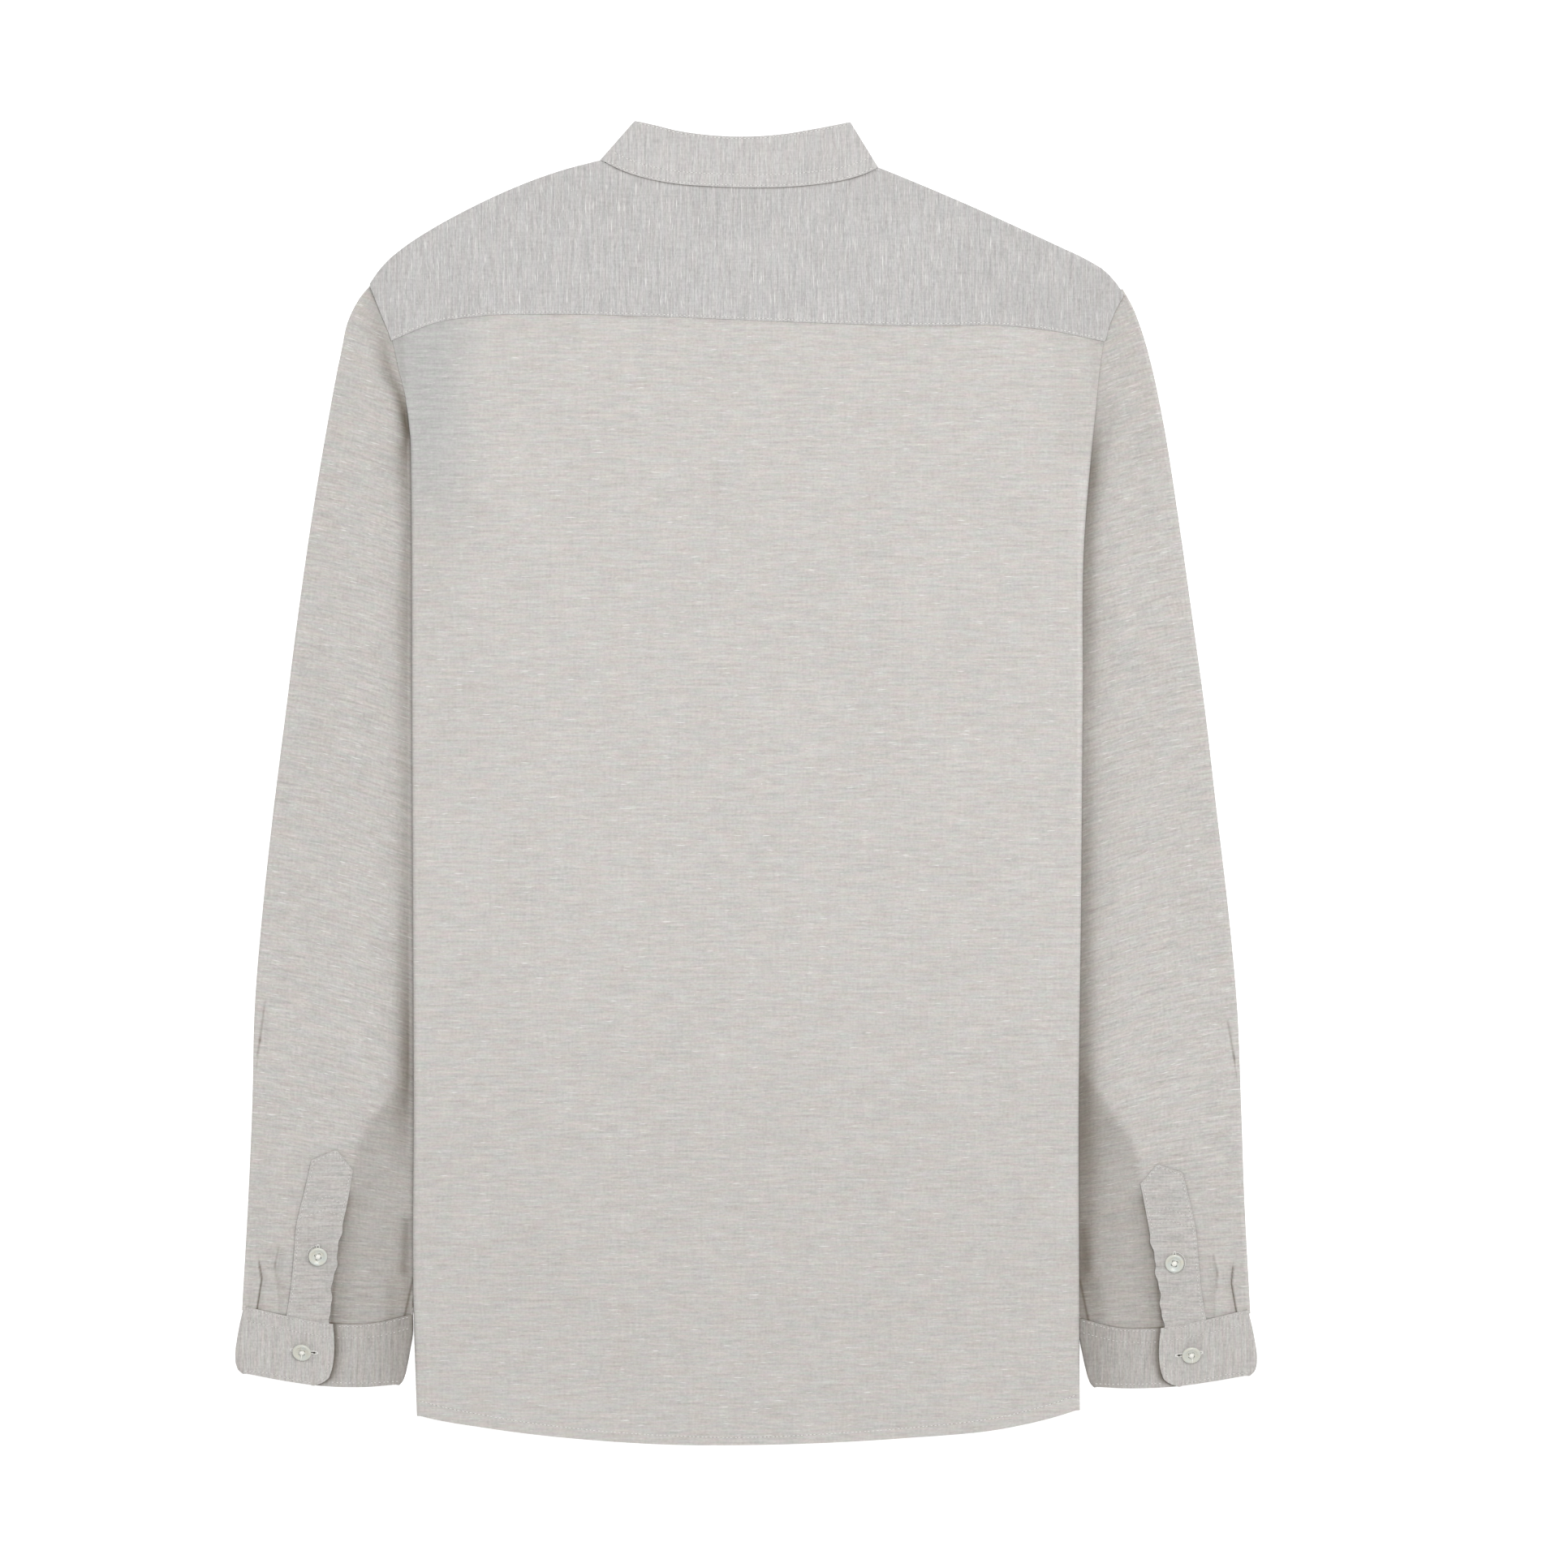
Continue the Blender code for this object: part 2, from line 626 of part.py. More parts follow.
def yoke():
    """The yoke: across the shoulders, over each shoulder fold and down to the forward seams."""
    radius = (SHOULDER_LEVEL - REST) / 2
    neck = {"left": 88.8, "right": 80.8}
    tip = {"left": 224.4, "right": 224.2}
    seam_tip = {"left": 216.6, "right": 216.3}
    foot_tip = {"left": 213.9, "right": 216.6}

    def fold_y(side, out):
        """y where the upper ply starts to turn."""
        return shoulder(side, out) - radius - CLOTH / 2

    def top(u, v):
        """u from the left tip to the right one, v from the lower seam to the shoulders and the neck."""
        out = np.abs(u)
        upper = u * np.where(u < 0, tip["left"], tip["right"])
        lower = u * np.where(u < 0, foot_tip["left"], foot_tip["right"])
        starts = np.where(u < 0, neck["left"], neck["right"])
        fold = np.where(u < 0, fold_y("left", upper), fold_y("right", upper))
        on_neck = curve(NECK_SEAM["x"], NECK_SEAM["y"], upper) - GAP
        head = np.where(np.abs(upper) < starts - 1e-6, on_neck, fold)
        y = mix(curve(YOKE_SEAM["x"], YOKE_SEAM["y"], lower), head, v)
        beside_neck = step((np.abs(upper) - starts + NECK_FALL) / NECK_FALL)
        near_fold = step(1 - (head - y) / SHOULDER_FALL) * beside_neck
        x = mix(lower, upper, v)
        return x, y, mix(back_top(x, y), SHOULDER_LEVEL, near_fold)

    def over(side):
        way = SIDES[side]

        def place(u, v):
            """u out along the shoulder; v round the fold to 1, then down the flap to 2."""
            out = u * tip[side]
            angle = np.clip(v, 0.0, 1.0) * math.pi
            down = np.clip(v - 1, 0.0, 1.0)
            share = (out - neck[side]) / (tip[side] - neck[side])
            seam_out = mix(NECK_POINT[side] + 0.4, seam_tip[side], share)
            seam_y = shoulder(side, seam_out) - YOKE_FLAP
            x = mix(out, seam_out, down)
            y = mix(fold_y(side, out) + radius * np.sin(angle), seam_y, down)
            return way * x, y, REST + radius + radius * np.cos(angle)

        return place

    outs = {
        side: [mix(neck[side], tip[side], share) / tip[side] for share in SHOULDER_COLUMNS]
        for side in SIDES
    }
    middle = [x / tip["left" if x < 0 else "right"] for x in BACK_NECK_COLUMNS]
    columns = [-u for u in outs["left"][::-1]] + middle + outs["right"]
    patches = [patch(top, columns, spread(0.0, (1.0, 6)))]
    for side in SIDES:
        patches.append(patch(over(side), outs[side], spread(0.0, (1.0, 4), (2.0, 2)), side == "left"))
    return cloth("yoke", patches, CLOTH, CLOTH_COLOURS["yoke"])


def collar():
    """The band round the neck: its back half above, turned at both sides, its front half beneath."""
    radius = (SHOULDER_LEVEL - BAND_REST) / 2
    inset = radius + BAND / 2
    ends = {"left": 2.9, "right": 4.4}  # levels where the two ends cross in the middle of the front
    lap_start, lap_rise = 46.0, 28.0  # the ends rise to them from this x on, over this width
    back_join, front_join = 0.12, 0.2  # shares of each half that lead into the turns at the sides
    crown = {"neck": 1.3, "edge": 0.3}  # the back half stands this much higher in its middle
    neck_ends = NECK_SEAM["x"][0], NECK_SEAM["x"][-1]
    edge_ends = COLLAR_EDGE["x"][0], COLLAR_EDGE["x"][-1]

    def back_half(t, v):
        at_neck, at_edge = mix(*neck_ends, t), mix(*edge_ends, t)
        neck_y = curve(NECK_SEAM["x"], NECK_SEAM["y"], at_neck)
        edge_y = curve(COLLAR_EDGE["x"], COLLAR_EDGE["y"], at_edge)
        return np.stack([mix(at_neck, at_edge, v), mix(neck_y, edge_y, v)])

    def turn_line(side, v):
        """The points where the turn at one side has its middle, and the way outwards."""
        t = {"left": 0.0, "right": 1.0}[side]
        foot, head = back_half(t, 0.0), back_half(t, 1.0)
        run = (head - foot) / np.linalg.norm(head - foot)
        outwards = SIDES[side] * np.array([run[1], -run[0]])
        line = np.stack([mix(foot[0], head[0], v), mix(foot[1], head[1], v)])
        return line - outwards[:, None, None] * inset, outwards[:, None, None]

    def back_place(t, v):
        length = mix(neck_ends[1] - neck_ends[0], edge_ends[1] - edge_ends[0], v)
        share = mix(inset / length, 1 - inset / length, t)
        xy = back_half(share, v)
        for side, near, end in (("left", t, inset / length), ("right", 1 - t, 1 - inset / length)):
            pull = np.clip(1 - near / back_join, 0.0, 1.0)
            xy = xy + pull * (turn_line(side, v)[0] - back_half(end, v))
        rise = np.sin(np.pi * np.clip(t, 0.0, 1.0)) * mix(crown["neck"], crown["edge"], v)
        return xy[0], xy[1], SHOULDER_LEVEL + rise

    def turn_place(side):
        def place(u, v):
            """u from 0 on the back half to 1 on the front half."""
            line, outwards = turn_line(side, v)
            angle = np.clip(u, 0.0, 1.0) * math.pi
            x, y = line + outwards * radius * np.sin(angle)
            return x, y, BAND_REST + radius + radius * np.cos(angle)

        return place

    def front_place(side):
        way = SIDES[side]

        def place(share, v):
            neck = np.interp(share, FRONT_NECK["share"], FRONT_NECK[side])
            edge = np.interp(share, FRONT_COLLAR_EDGE["share"], FRONT_COLLAR_EDGE["out"])
            edge_y = curve(FRONT_COLLAR_EDGE["out"][::-1], FRONT_COLLAR_EDGE["y"][::-1], edge)
            out, y = mix(neck, edge, v), mix(front_neck(side, neck), edge_y, v)
            start_out = mix(FRONT_NECK[side][0], FRONT_COLLAR_EDGE["out"][0], v)
            start_y = mix(FRONT_NECK[side + "_y"][0], FRONT_COLLAR_EDGE["y"][0], v)
            turn_x, turn_y = turn_line(side, v)[0]
            pull = np.clip(1 - share / front_join, 0.0, 1.0)
            x = way * out + pull * (turn_x - way * start_out)
            z = mix(BAND_REST, ends[side], step((lap_start - out) / lap_rise))
            return x, y + pull * (turn_y - start_y), z

        return place

    rows = [0.0, 0.5, 1.0]
    neck_width = neck_ends[1] - neck_ends[0]
    backs = [(x - neck_ends[0] - inset) / (neck_width - 2 * inset) for x in BACK_NECK_COLUMNS]
    backs = [0.0, 0.06] + backs + [0.95, 1.0]
    patches = [patch(back_place, backs, rows)]
    for side in SIDES:
        outs = FRONT_NECK_COLUMNS[::-1]
        shares = np.interp(outs, FRONT_NECK[side][::-1], FRONT_NECK["share"][::-1])
        fronts = [0.0, 0.12, 0.25, 0.36, *shares, FRONT_NECK["share"][-1]]
        backwards = side == "left"
        patches.append(patch(turn_place(side), spread(0.0, (1.0, 4)), rows, backwards))
        patches.append(patch(front_place(side), fronts, rows, backwards))
    return cloth("collar", patches, BAND, CLOTH_COLOURS["yoke"])


def sleeve_side(side, y):
    """Distance of the sleeve's outer edge from x = 0."""
    return curve(SLEEVE_SIDE["y"], np.abs(SLEEVE_SIDE[side]), y)


def sleeve_roll(y):
    """Radius of the roll along the sleeve's outer edge."""
    return np.interp(y, ROLL["y"], ROLL["radius"])


def raised_folds(side, x, y):
    """Height of the soft folds in a sleeve's upper ply."""
    out, total = np.abs(x), 0.0
    for row in range(len(SLEEVE_FOLDS["side"])):
        fold = {name: values[row] for name, values in SLEEVE_FOLDS.items()}
        if fold["side"] != SIDES[side]:
            continue
        run_x, run_y = fold["x1"] - fold["x0"], fold["y1"] - fold["y0"]
        length = math.hypot(run_x, run_y)
        along = ((out - fold["x0"]) * run_x + (y - fold["y0"]) * run_y) / length
        across = ((out - fold["x0"]) * run_y - (y - fold["y0"]) * run_x) / length
        ends = step(1.0 - np.maximum(-along, along - length) / fold["width"])
        total = total + fold["height"] * ends * np.exp(-((2 * across / fold["width"]) ** 2))
    return total


def sleeve_level(side, x, y):
    """Level of a sleeve's upper ply: pressed flat under the body, rising beside it."""
    out = np.abs(x)
    edge = REST + 2 * sleeve_roll(y)
    beside = out - body_side(side, y)
    width = sleeve_side(side, y) - body_side(side, y) - 2 * sleeve_roll(y)
    rise = step((beside - SLEEVE_RISE_START) / np.clip(0.8 * width, 3.0, SLEEVE_BULGE))
    return mix(REST + PLY, edge, rise) + raised_folds(side, x, y) * step(beside / 8.0)


def pleats(share, beyond_cuff):
    """Height of the knife pleats: a slow rise from the outer edge, then a drop towards the body."""
    total = 0.0
    for at, height, length in zip(PLEATS["share"], PLEATS["height"], PLEATS["length"]):
        rise = step((share - at + PLEAT_RISE) / PLEAT_RISE)
        drop = step((share - at) / PLEAT_DROP)
        total = total + height * rise * (1 - drop) * step(1 - beyond_cuff / length)
    return total


def sleeve(side):
    """A sleeve, pressed flat: one tube from the cuff to the armhole, its inner half under the body."""
    way = SIDES[side]
    top_y = SLEEVE_TOP[side]
    foot_y = CUFF_TOP[side + "_y"][0] + CURVED_GAP
    inner_foot = np.array([abs(CUFF_TOP[side + "_x"][-1]) + 4.0, CUFF_TOP[side + "_y"][-1] + CURVED_GAP])

    def outer_line(v):
        y = mix(foot_y, top_y, v)
        return np.stack([sleeve_side(side, y), y])

    def inset_outer(v):
        """Where the roll's middle is, and the way outwards."""
        run = outer_line(v + 1e-3) - outer_line(v - 1e-3)
        run = run / np.linalg.norm(run, axis=0)
        outwards = np.stack([run[1], -run[0]])
        radius = sleeve_roll(mix(foot_y, top_y, v))
        return outer_line(v) - outwards * (radius + CLOTH / 2), outwards, radius

    inner_run = np.array(UNDERARM) - inner_foot
    inner_way = np.array([-inner_run[1], inner_run[0]]) / np.linalg.norm(inner_run)

    def inset_inner(v):
        line = inner_foot[:, None, None] + inner_run[:, None, None] * v
        return line - inner_way[:, None, None] * (SLEEVE_LAY + CLOTH / 2)

    def mouth(share):
        y = np.interp(share, MOUTH["share"], [top_y, *MOUTH["y"][1:]])
        x = np.where(y > MOUTH_UNDER, body_side(side, y) + 0.4, np.interp(y, REACH["y"], REACH["x"]))
        return np.stack([x, y])

    def wrist(share):
        x = np.abs(curve(CUFF_TOP["share"], CUFF_TOP[side + "_x"], share))
        return np.stack([x, curve(CUFF_TOP["share"], CUFF_TOP[side + "_y"], share) + CURVED_GAP])

    def flat(share, v):
        """x and y of the pressed tube, by its share across from the outer edge and up the sleeve."""
        ends = mix(wrist(share), mouth(share), v)
        outer_gap = inset_outer(v)[0] - mix(wrist(0.0 * v), mouth(0.0 * v), v)
        inner_gap = inset_inner(v) - mix(wrist(0.0 * v + 1), mouth(0.0 * v + 1), v)
        return ends + (1 - share) * outer_gap + share * inner_gap

    def body_share(v):
        """Share across at which the sleeve runs in under the body."""
        low, high = 0.0 * v, 0.0 * v + 1
        for _ in range(30):
            middle = (low + high) / 2
            x, y = flat(middle, v)
            beside = x > body_side(side, y) + SLEEVE_RISE_START
            low, high = np.where(beside, middle, low), np.where(beside, high, middle)
        return np.clip(low, MOUTH["share"][2], 1 - ROLL_SHARE)

    def upper(u, v):
        """u from the outer edge to the body's side at 1, then under the body to 2."""
        at_body = body_share(v)
        share = at_body * np.minimum(u, 1.0) + (1 - at_body) * np.maximum(u - 1, 0.0)
        x, y = flat(share, v)
        z = sleeve_level(side, x, y) + pleats(share, y - wrist(share)[1])
        edge = REST + 2 * sleeve_roll(mix(foot_y, top_y, v))
        z = mix(edge, z, step(share / ROLL_SHARE))
        return way * x, y, mix(z, REST + PLY, step((share - 1 + ROLL_SHARE) / ROLL_SHARE))

    def lower(u, v):
        x, y = flat(u, v)
        return way * x, y, REST

    def outer_turn(u, v):
        centre, outwards, radius = inset_outer(v)
        angle = np.clip(u, 0.0, 1.0) * math.pi
        x, y = centre + outwards * radius * np.sin(angle)
        return way * x, y, REST + radius - radius * np.cos(angle)

    def inner_turn(u, v):
        angle = np.clip(u, 0.0, 1.0) * math.pi
        x, y = inset_inner(v) + inner_way[:, None, None] * SLEEVE_LAY * np.sin(angle)
        return way * x, y, REST + SLEEVE_LAY - SLEEVE_LAY * np.cos(angle)

    def up(y):
        return (y - foot_y) / (top_y - foot_y)

    below = spread(0.0, (up(-290), 2), (up(-270), 1), (up(-150), 6))
    rows = below + spread(below[-1], (up(205), 9), (up(270), 3), (1.0, 2))[1:]
    pleated = [at + past for at in PLEATS["share"] for past in (-PLEAT_RISE, 0.0, PLEAT_DROP)]
    across = sorted([0.0, 0.33, 0.42, 0.52, 0.62, 0.74, 0.87, 1.0, 1.5, 2.0, *pleated])
    patches = [
        patch(upper, across, rows),
        patch(lower, LOWER_COLUMNS, rows, True),
        patch(outer_turn, spread(0.0, (1.0, 4)), rows),
        patch(inner_turn, spread(0.0, (1.0, 3)), rows, True),
    ]
    return cloth("sleeve_" + side, patches, CLOTH, CLOTH_COLOURS["body"])


def cuff(side):
    """A cuff, pressed flat: from its under end round the inner side, beneath, and over to its lap."""
    way = SIDES[side]
    outer_radius = (CUFF_LEVELS["lap"] - CUFF_LEVELS["low"]) / 2
    inner_radius = (CUFF_LEVELS["under"] - CUFF_LEVELS["low"]) / 2

    def outline(share, h):
        x = mix(
            np.abs(curve(CUFF_FOOT["share"], CUFF_FOOT[side + "_x"], share)),
            np.abs(curve(CUFF_TOP["share"], CUFF_TOP[side + "_x"], share)),
            h,
        )
        y = mix(
            curve(CUFF_FOOT["share"], CUFF_FOOT[side + "_y"], share),
            curve(CUFF_TOP["share"], CUFF_TOP[side + "_y"], share),
            h,
        )
        bow = 4 * h * (1 - h) * CUFF_SIDE_BOW
        return np.stack([x + bow * ((1 - share) ** 3 - 0.5 * share**3), y + 0.0 * h])

    def ends(h):
        """The two sides moved in to where the turns' middles are, and the way from outer to inner."""
        first, last = outline(0.0 * h, h), outline(0.0 * h + 1, h)
        run = (last - first) / np.linalg.norm(last - first, axis=0)
        return first + run * (outer_radius + BAND / 2), last - run * (inner_radius + BAND / 2), run

    def ply(share, h):
        first, last, _ = ends(h)
        plain = outline(share, h)
        out_gap, in_gap = first - outline(0.0 * h, h), last - outline(0.0 * h + 1, h)
        return plain + (1 - share) * out_gap + share * in_gap

    def flat(key):
        def place(u, v):
            past = np.clip(CUFF_CORNER - (CUFF_LAP_END - u) * CUFF_WIDTH, 0.0, CUFF_CORNER)
            round_off = (CUFF_CORNER - np.sqrt(CUFF_CORNER**2 - past**2)) / CUFF_DEPTH
            h = mix(round_off if key == "lap" else 0.0, 1.0, v)
            x, y = ply(u, h)
            return way * x, y, CUFF_LEVELS[key] + 0.0 * x

        return place

    def turn(inner):
        radius = inner_radius if inner else outer_radius

        def place(u, v):
            first, last, run = ends(v + 0.0 * u)
            angle = np.clip(u, 0.0, 1.0) * math.pi
            centre, outwards = (last, run) if inner else (first, -run)
            x, y = centre + outwards * radius * np.sin(angle)
            return way * x, y, CUFF_LEVELS["low"] + radius - radius * np.cos(angle)

        return place

    rows = spread(0.0, (1.0, 4))
    lap = LAP_COLUMNS + [CUFF_LAP_END - 0.05, CUFF_LAP_END - 0.02, CUFF_LAP_END]
    turns = spread(0.0, (1.0, 4))
    patches = [
        patch(flat("lap"), lap, rows),
        patch(flat("low"), LOWER_COLUMNS, rows, True),
        patch(flat("under"), [CUFF_LAP_START, 0.42, 0.52, 0.62, 0.74, 0.87, 1.0], rows),
        patch(turn(True), turns, rows, True),
        patch(turn(False), turns, rows),
    ]
    return cloth("cuff_" + side, patches, BAND, CLOTH_COLOURS["band"])


def gauntlet_level(side, x, y):
    return sleeve_level(side, x, y) + PLY + GAUNTLET_CLEAR


def gauntlet(side):
    """The pointed placket over the sleeve's opening, on the sleeve's upper ply."""
    way = SIDES[side]

    def place(u, v):
        """u out from the edge near the body, v up from the cuff to the point."""
        inner = curve(GAUNTLET["share"], GAUNTLET[side + "_in"], v)
        outer = curve(GAUNTLET["share"], GAUNTLET[side + "_out"], v)
        x = mix(inner, outer, u)
        head = np.interp(u, GAUNTLET_HEAD["share"], GAUNTLET_HEAD[side])
        y = mix(cuff_top(side, x) + CURVED_GAP, head, v)
        return way * x, y, gauntlet_level(side, x, y)

    patches = [patch(place, [0.0, 0.4, 0.7, 1.0], spread(0.0, (1.0, 8)))]
    return cloth("gauntlet_" + side, patches, CLOTH, CLOTH_COLOURS["body"])


def button(name, x, y, z, facing):
    """A turned button with a raised rim, standing on z and facing up (1) or down (-1)."""
    bm = bmesh.new()
    radius, height = BUTTON_WIDTH / 2, BUTTON_HEIGHT
    profile = [
        (0.0, 0.0),
        (0.8 * radius, 0.0),
        (radius, 0.45 * height),
        (0.9 * radius, height),
        (0.68 * radius, 0.72 * height),
        (0.0, 0.72 * height),
    ]
    verts = [bm.verts.new((r * MM, 0.0, h * MM)) for r, h in profile]
    edges = [bm.edges.new(pair) for pair in zip(verts, verts[1:])]
    bmesh.ops.spin(
        bm,
        geom=verts + edges,
        axis=(0, 0, 1),
        cent=(0, 0, 0),
        angle=2 * math.pi,
        steps=BUTTON_SIDES,
        use_merge=True,
    )
    bmesh.ops.remove_doubles(bm, verts=bm.verts, dist=1e-6)
    made = finish(name, bm, BUTTON_COLOUR, BUTTON_ROUGHNESS)
    turned_down = facing < 0
    made.location = (x * MM, y * MM, (z + (height if turned_down else 0.0)) * MM)
    made.rotation_euler = (math.pi if turned_down else 0.0, 0.0, 0.0)
    return made


def buttons():
    """Down the front and at the collar, facing the surface; on each cuff and gauntlet, facing up."""
    button("button_collar", *COLLAR_BUTTON, 0.0, -1)
    for number in range(FRONT_BUTTONS):
        y = FRONT_BUTTON_TOP - number * FRONT_BUTTON_STEP
        button(f"button_front_{number + 1}", 0.0, y, 0.0, -1)
    for side in SIDES:
        on_lap = CUFF_LEVELS["lap"] + BAND / 2 + GAP
        button("button_cuff_" + side, *CUFF_BUTTONS[side], on_lap, 1)
        x, y = GAUNTLET_BUTTONS[side]
        on_gauntlet = gauntlet_level(side, x, y) + CLOTH / 2 + GAP + BUTTON_CLEAR
        button("button_gauntlet_" + side, x, y, on_gauntlet, 1)


def main():
    for old in list(bpy.data.objects):
        bpy.data.objects.remove(old)
    back()
    yoke()
    front_placket()
    collar()
    for side in SIDES:
        front(side)
        sleeve(side)
        cuff(side)
        gauntlet(side)
    buttons()


if __name__ == "__main__":
    main()
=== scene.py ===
"""Dresses the mandarin collar shirt: linen pieces, stitching, buttonholes and buttons on its frame.

The shirt lies face down. Each cloth piece is a thin sheet laid on the form of its solid, with the
soft troughs, creases and pleats of worn linen; much of the shade in them and where pieces meet is
painted into the cloth's colour. Sizes are in millimetres until MM makes them metres.
A cloth's own coordinates, s along the weft and t across it, go with its mesh so that the weave
follows the cloth.
"""

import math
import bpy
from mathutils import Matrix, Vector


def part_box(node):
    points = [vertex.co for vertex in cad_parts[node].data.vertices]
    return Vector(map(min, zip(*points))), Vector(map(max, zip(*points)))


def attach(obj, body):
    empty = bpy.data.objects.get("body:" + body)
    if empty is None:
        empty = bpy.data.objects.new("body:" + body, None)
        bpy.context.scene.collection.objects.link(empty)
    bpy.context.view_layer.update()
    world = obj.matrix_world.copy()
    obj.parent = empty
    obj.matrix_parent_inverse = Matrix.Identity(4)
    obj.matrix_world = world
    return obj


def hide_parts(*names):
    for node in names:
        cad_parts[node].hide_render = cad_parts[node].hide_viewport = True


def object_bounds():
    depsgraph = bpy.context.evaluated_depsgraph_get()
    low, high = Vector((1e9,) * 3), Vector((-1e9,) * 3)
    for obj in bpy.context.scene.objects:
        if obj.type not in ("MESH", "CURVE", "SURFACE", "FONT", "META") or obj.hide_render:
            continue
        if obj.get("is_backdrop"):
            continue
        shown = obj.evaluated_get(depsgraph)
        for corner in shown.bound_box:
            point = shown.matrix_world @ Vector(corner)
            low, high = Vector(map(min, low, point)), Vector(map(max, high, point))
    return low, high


bl_info = {
    "name": "Mandarin Collar Shirt",
    "version": (1, 0, 0),
    "blender": (4, 5, 0),
    "location": "View3D > Sidebar > Shirt",
    "description": "Linen, stitching and buttons for a shirt laid flat",
    "category": "Object",
}

import bmesh
import bpy
import numpy as np
from mathutils import Matrix, Vector

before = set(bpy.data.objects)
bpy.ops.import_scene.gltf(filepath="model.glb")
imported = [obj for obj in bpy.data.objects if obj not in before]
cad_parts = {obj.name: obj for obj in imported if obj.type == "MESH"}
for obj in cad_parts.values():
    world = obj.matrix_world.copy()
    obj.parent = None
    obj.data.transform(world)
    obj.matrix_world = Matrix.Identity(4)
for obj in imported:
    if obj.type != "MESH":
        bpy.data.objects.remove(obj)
SOLIDS_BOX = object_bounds()
MM = 0.001
SIDES = {"left": -1, "right": 1}


# Sizes of the shirt ------------------------------------------------------------------------------

CLOTH = 0.8  # wall of a single ply
BAND = 1.0  # wall of the collar and the cuffs
REST = 0.5  # level of a ply's middle where it lies on the surface
PLY = 1.3  # from a ply's middle to the next one's
BAND_REST = 0.6  # the same for the collar and the cuffs
BAND_EDGE = 0.6  # from a band's outline to the middle of its wall
LAP = 0.8  # a piece stands this much higher where it laps over its neighbour

TUCK = 67.0  # width of body folded under at each side
SEAM_FOOT = 65.0  # y of the underarm point
BACK_FOLD_TOP = 232.0  # y where the back's side folds end
FRONT_FOLD_TOP = 205.0
FRONT_INNER = {"left": -9.0, "right": -7.0}  # x where each front starts, above the placket
FRONT_HEM_RISE = 12.0  # the front's hem is this much higher than the back's
YOKE_FLAP = 38.0  # from the shoulder's fold to the forward seam
NECK_POINT = {"left": 71.0, "right": 66.5}  # how far out the neck and the forward seam meet
FALL = 45.0  # width over which a body ply sinks beside what lies under it
CLEAR = 14.0  # how far beside it that starts
HEM_DEPTH = 4.6  # from the hem's edge to its stitches
HEM_STEP = 0.35  # how much the turned hem stands up

PLACKET_WIDTH = 32.0
FRONT_BUTTONS = [252.0 - number * 92.0 for number in range(6)]  # y of each

UNDERARM = (118.0, 90.0)  # how far out and how high the sleeve's seam meets the body's
SLEEVE_LAY = 0.65  # radius of a sleeve's turn under the body
SLEEVE_TUCK = 2.6  # how much further in its upper ply reaches at the armhole
MOUTH_UNDER = 214.0  # y below which the armhole lies under the body
SLEEVE_BULGE = 30.0  # the most that a sleeve takes to rise beside the body
WRIST_TUCK = 2.0  # how far a sleeve reaches into its cuff

CUFF_LAP_START = 0.36  # share across a cuff where its under end starts, below the lap
CUFF_LAP_END = 0.525  # share across where the lap ends
CUFF_LEVELS = {"low": BAND_REST, "under": 3.9, "lap": 5.4}


def table(columns, *rows):
    """A short table as one array for each named column."""
    return dict(zip(columns.split(), np.array(rows, float).T))


# How far out the side edges lie.
BODY_SIDE = table(
    "y left right",
    (-400, 198.0, 201.8),
    (-300, 200.8, 201.1),
    (-203, 200.4, 200.8),
    (-66, 200.9, 202.3),
    (52, 201.4, 203.3),
    (149, 201.6, 204.3),
    (189, 202.0, 207.5),
    (210, 202.6, 209.6),
    (232, 205.6, 212.0),
    (252, 210.4, 214.2),
    (267, 213.8, 216.6),
    (284, 220.6, 222.4),
    (300, 226.8, 229.0),
)
SLEEVE_SIDE = table(
    "y left right",
    (-316, 304.0, 304.3),
    (-252, 300.4, 300.9),
    (-194, 297.9, 298.9),
    (-135, 296.4, 296.5),
    (-76, 291.6, 291.1),
    (-17, 285.2, 284.2),
    (42, 277.8, 277.4),
    (100, 270.5, 269.5),
    (159, 262.1, 261.2),
    (218, 252.3, 251.9),
    (247, 247.0, 246.0),
    (264, 243.5, 241.7),
    (276, 241.1, 237.9),
    (288, 236.0, 233.2),
    (296, 230.8, 228.8),
    (300, 227.2, 226.4),
)
# y of the shoulders' folds.
SHOULDER = table(
    "out left right",
    (72, 379.8, 374.6),
    (88, 375.9, 368.4),
    (111, 369.9, 358.9),
    (140, 359.3, 346.4),
    (167, 346.7, 334.1),
    (189, 334.7, 323.9),
    (207, 322.9, 315.2),
    (217, 314.4, 308.8),
    (224, 305.8, 301.0),
    (229, 297.8, 293.4),
)
# Edges and seams that run across.
HEM = table(
    "x y",
    (-205, -379.0),
    (-198, -381.2),
    (-156, -389.1),
    (-98, -395.9),
    (-40, -399.3),
    (0, -399.4),
    (40, -398.4),
    (98, -395.0),
    (157, -389.1),
    (187, -382.2),
    (205, -376.4),
)
YOKE_SEAM = table(
    "x y",
    (-214, 266.9),
    (-206, 270.5),
    (-191, 276.7),
    (-162, 281.6),
    (-120, 282.9),
    (-58, 281.6),
    (40, 277.8),
    (118, 275.9),
    (145, 276.4),
    (184, 273.1),
    (216, 266.6),
)
NECK_SEAM = table(
    "x y",
    (-88.0, 376.2),
    (-74.5, 369.5),
    (-61.3, 365.2),
    (-44.3, 361.8),
    (-22.1, 360.0),
    (4.3, 359.2),
    (24.0, 359.6),
    (43.6, 361.3),
    (60.7, 364.2),
    (73.8, 368.4),
    (80.0, 371.6),
)
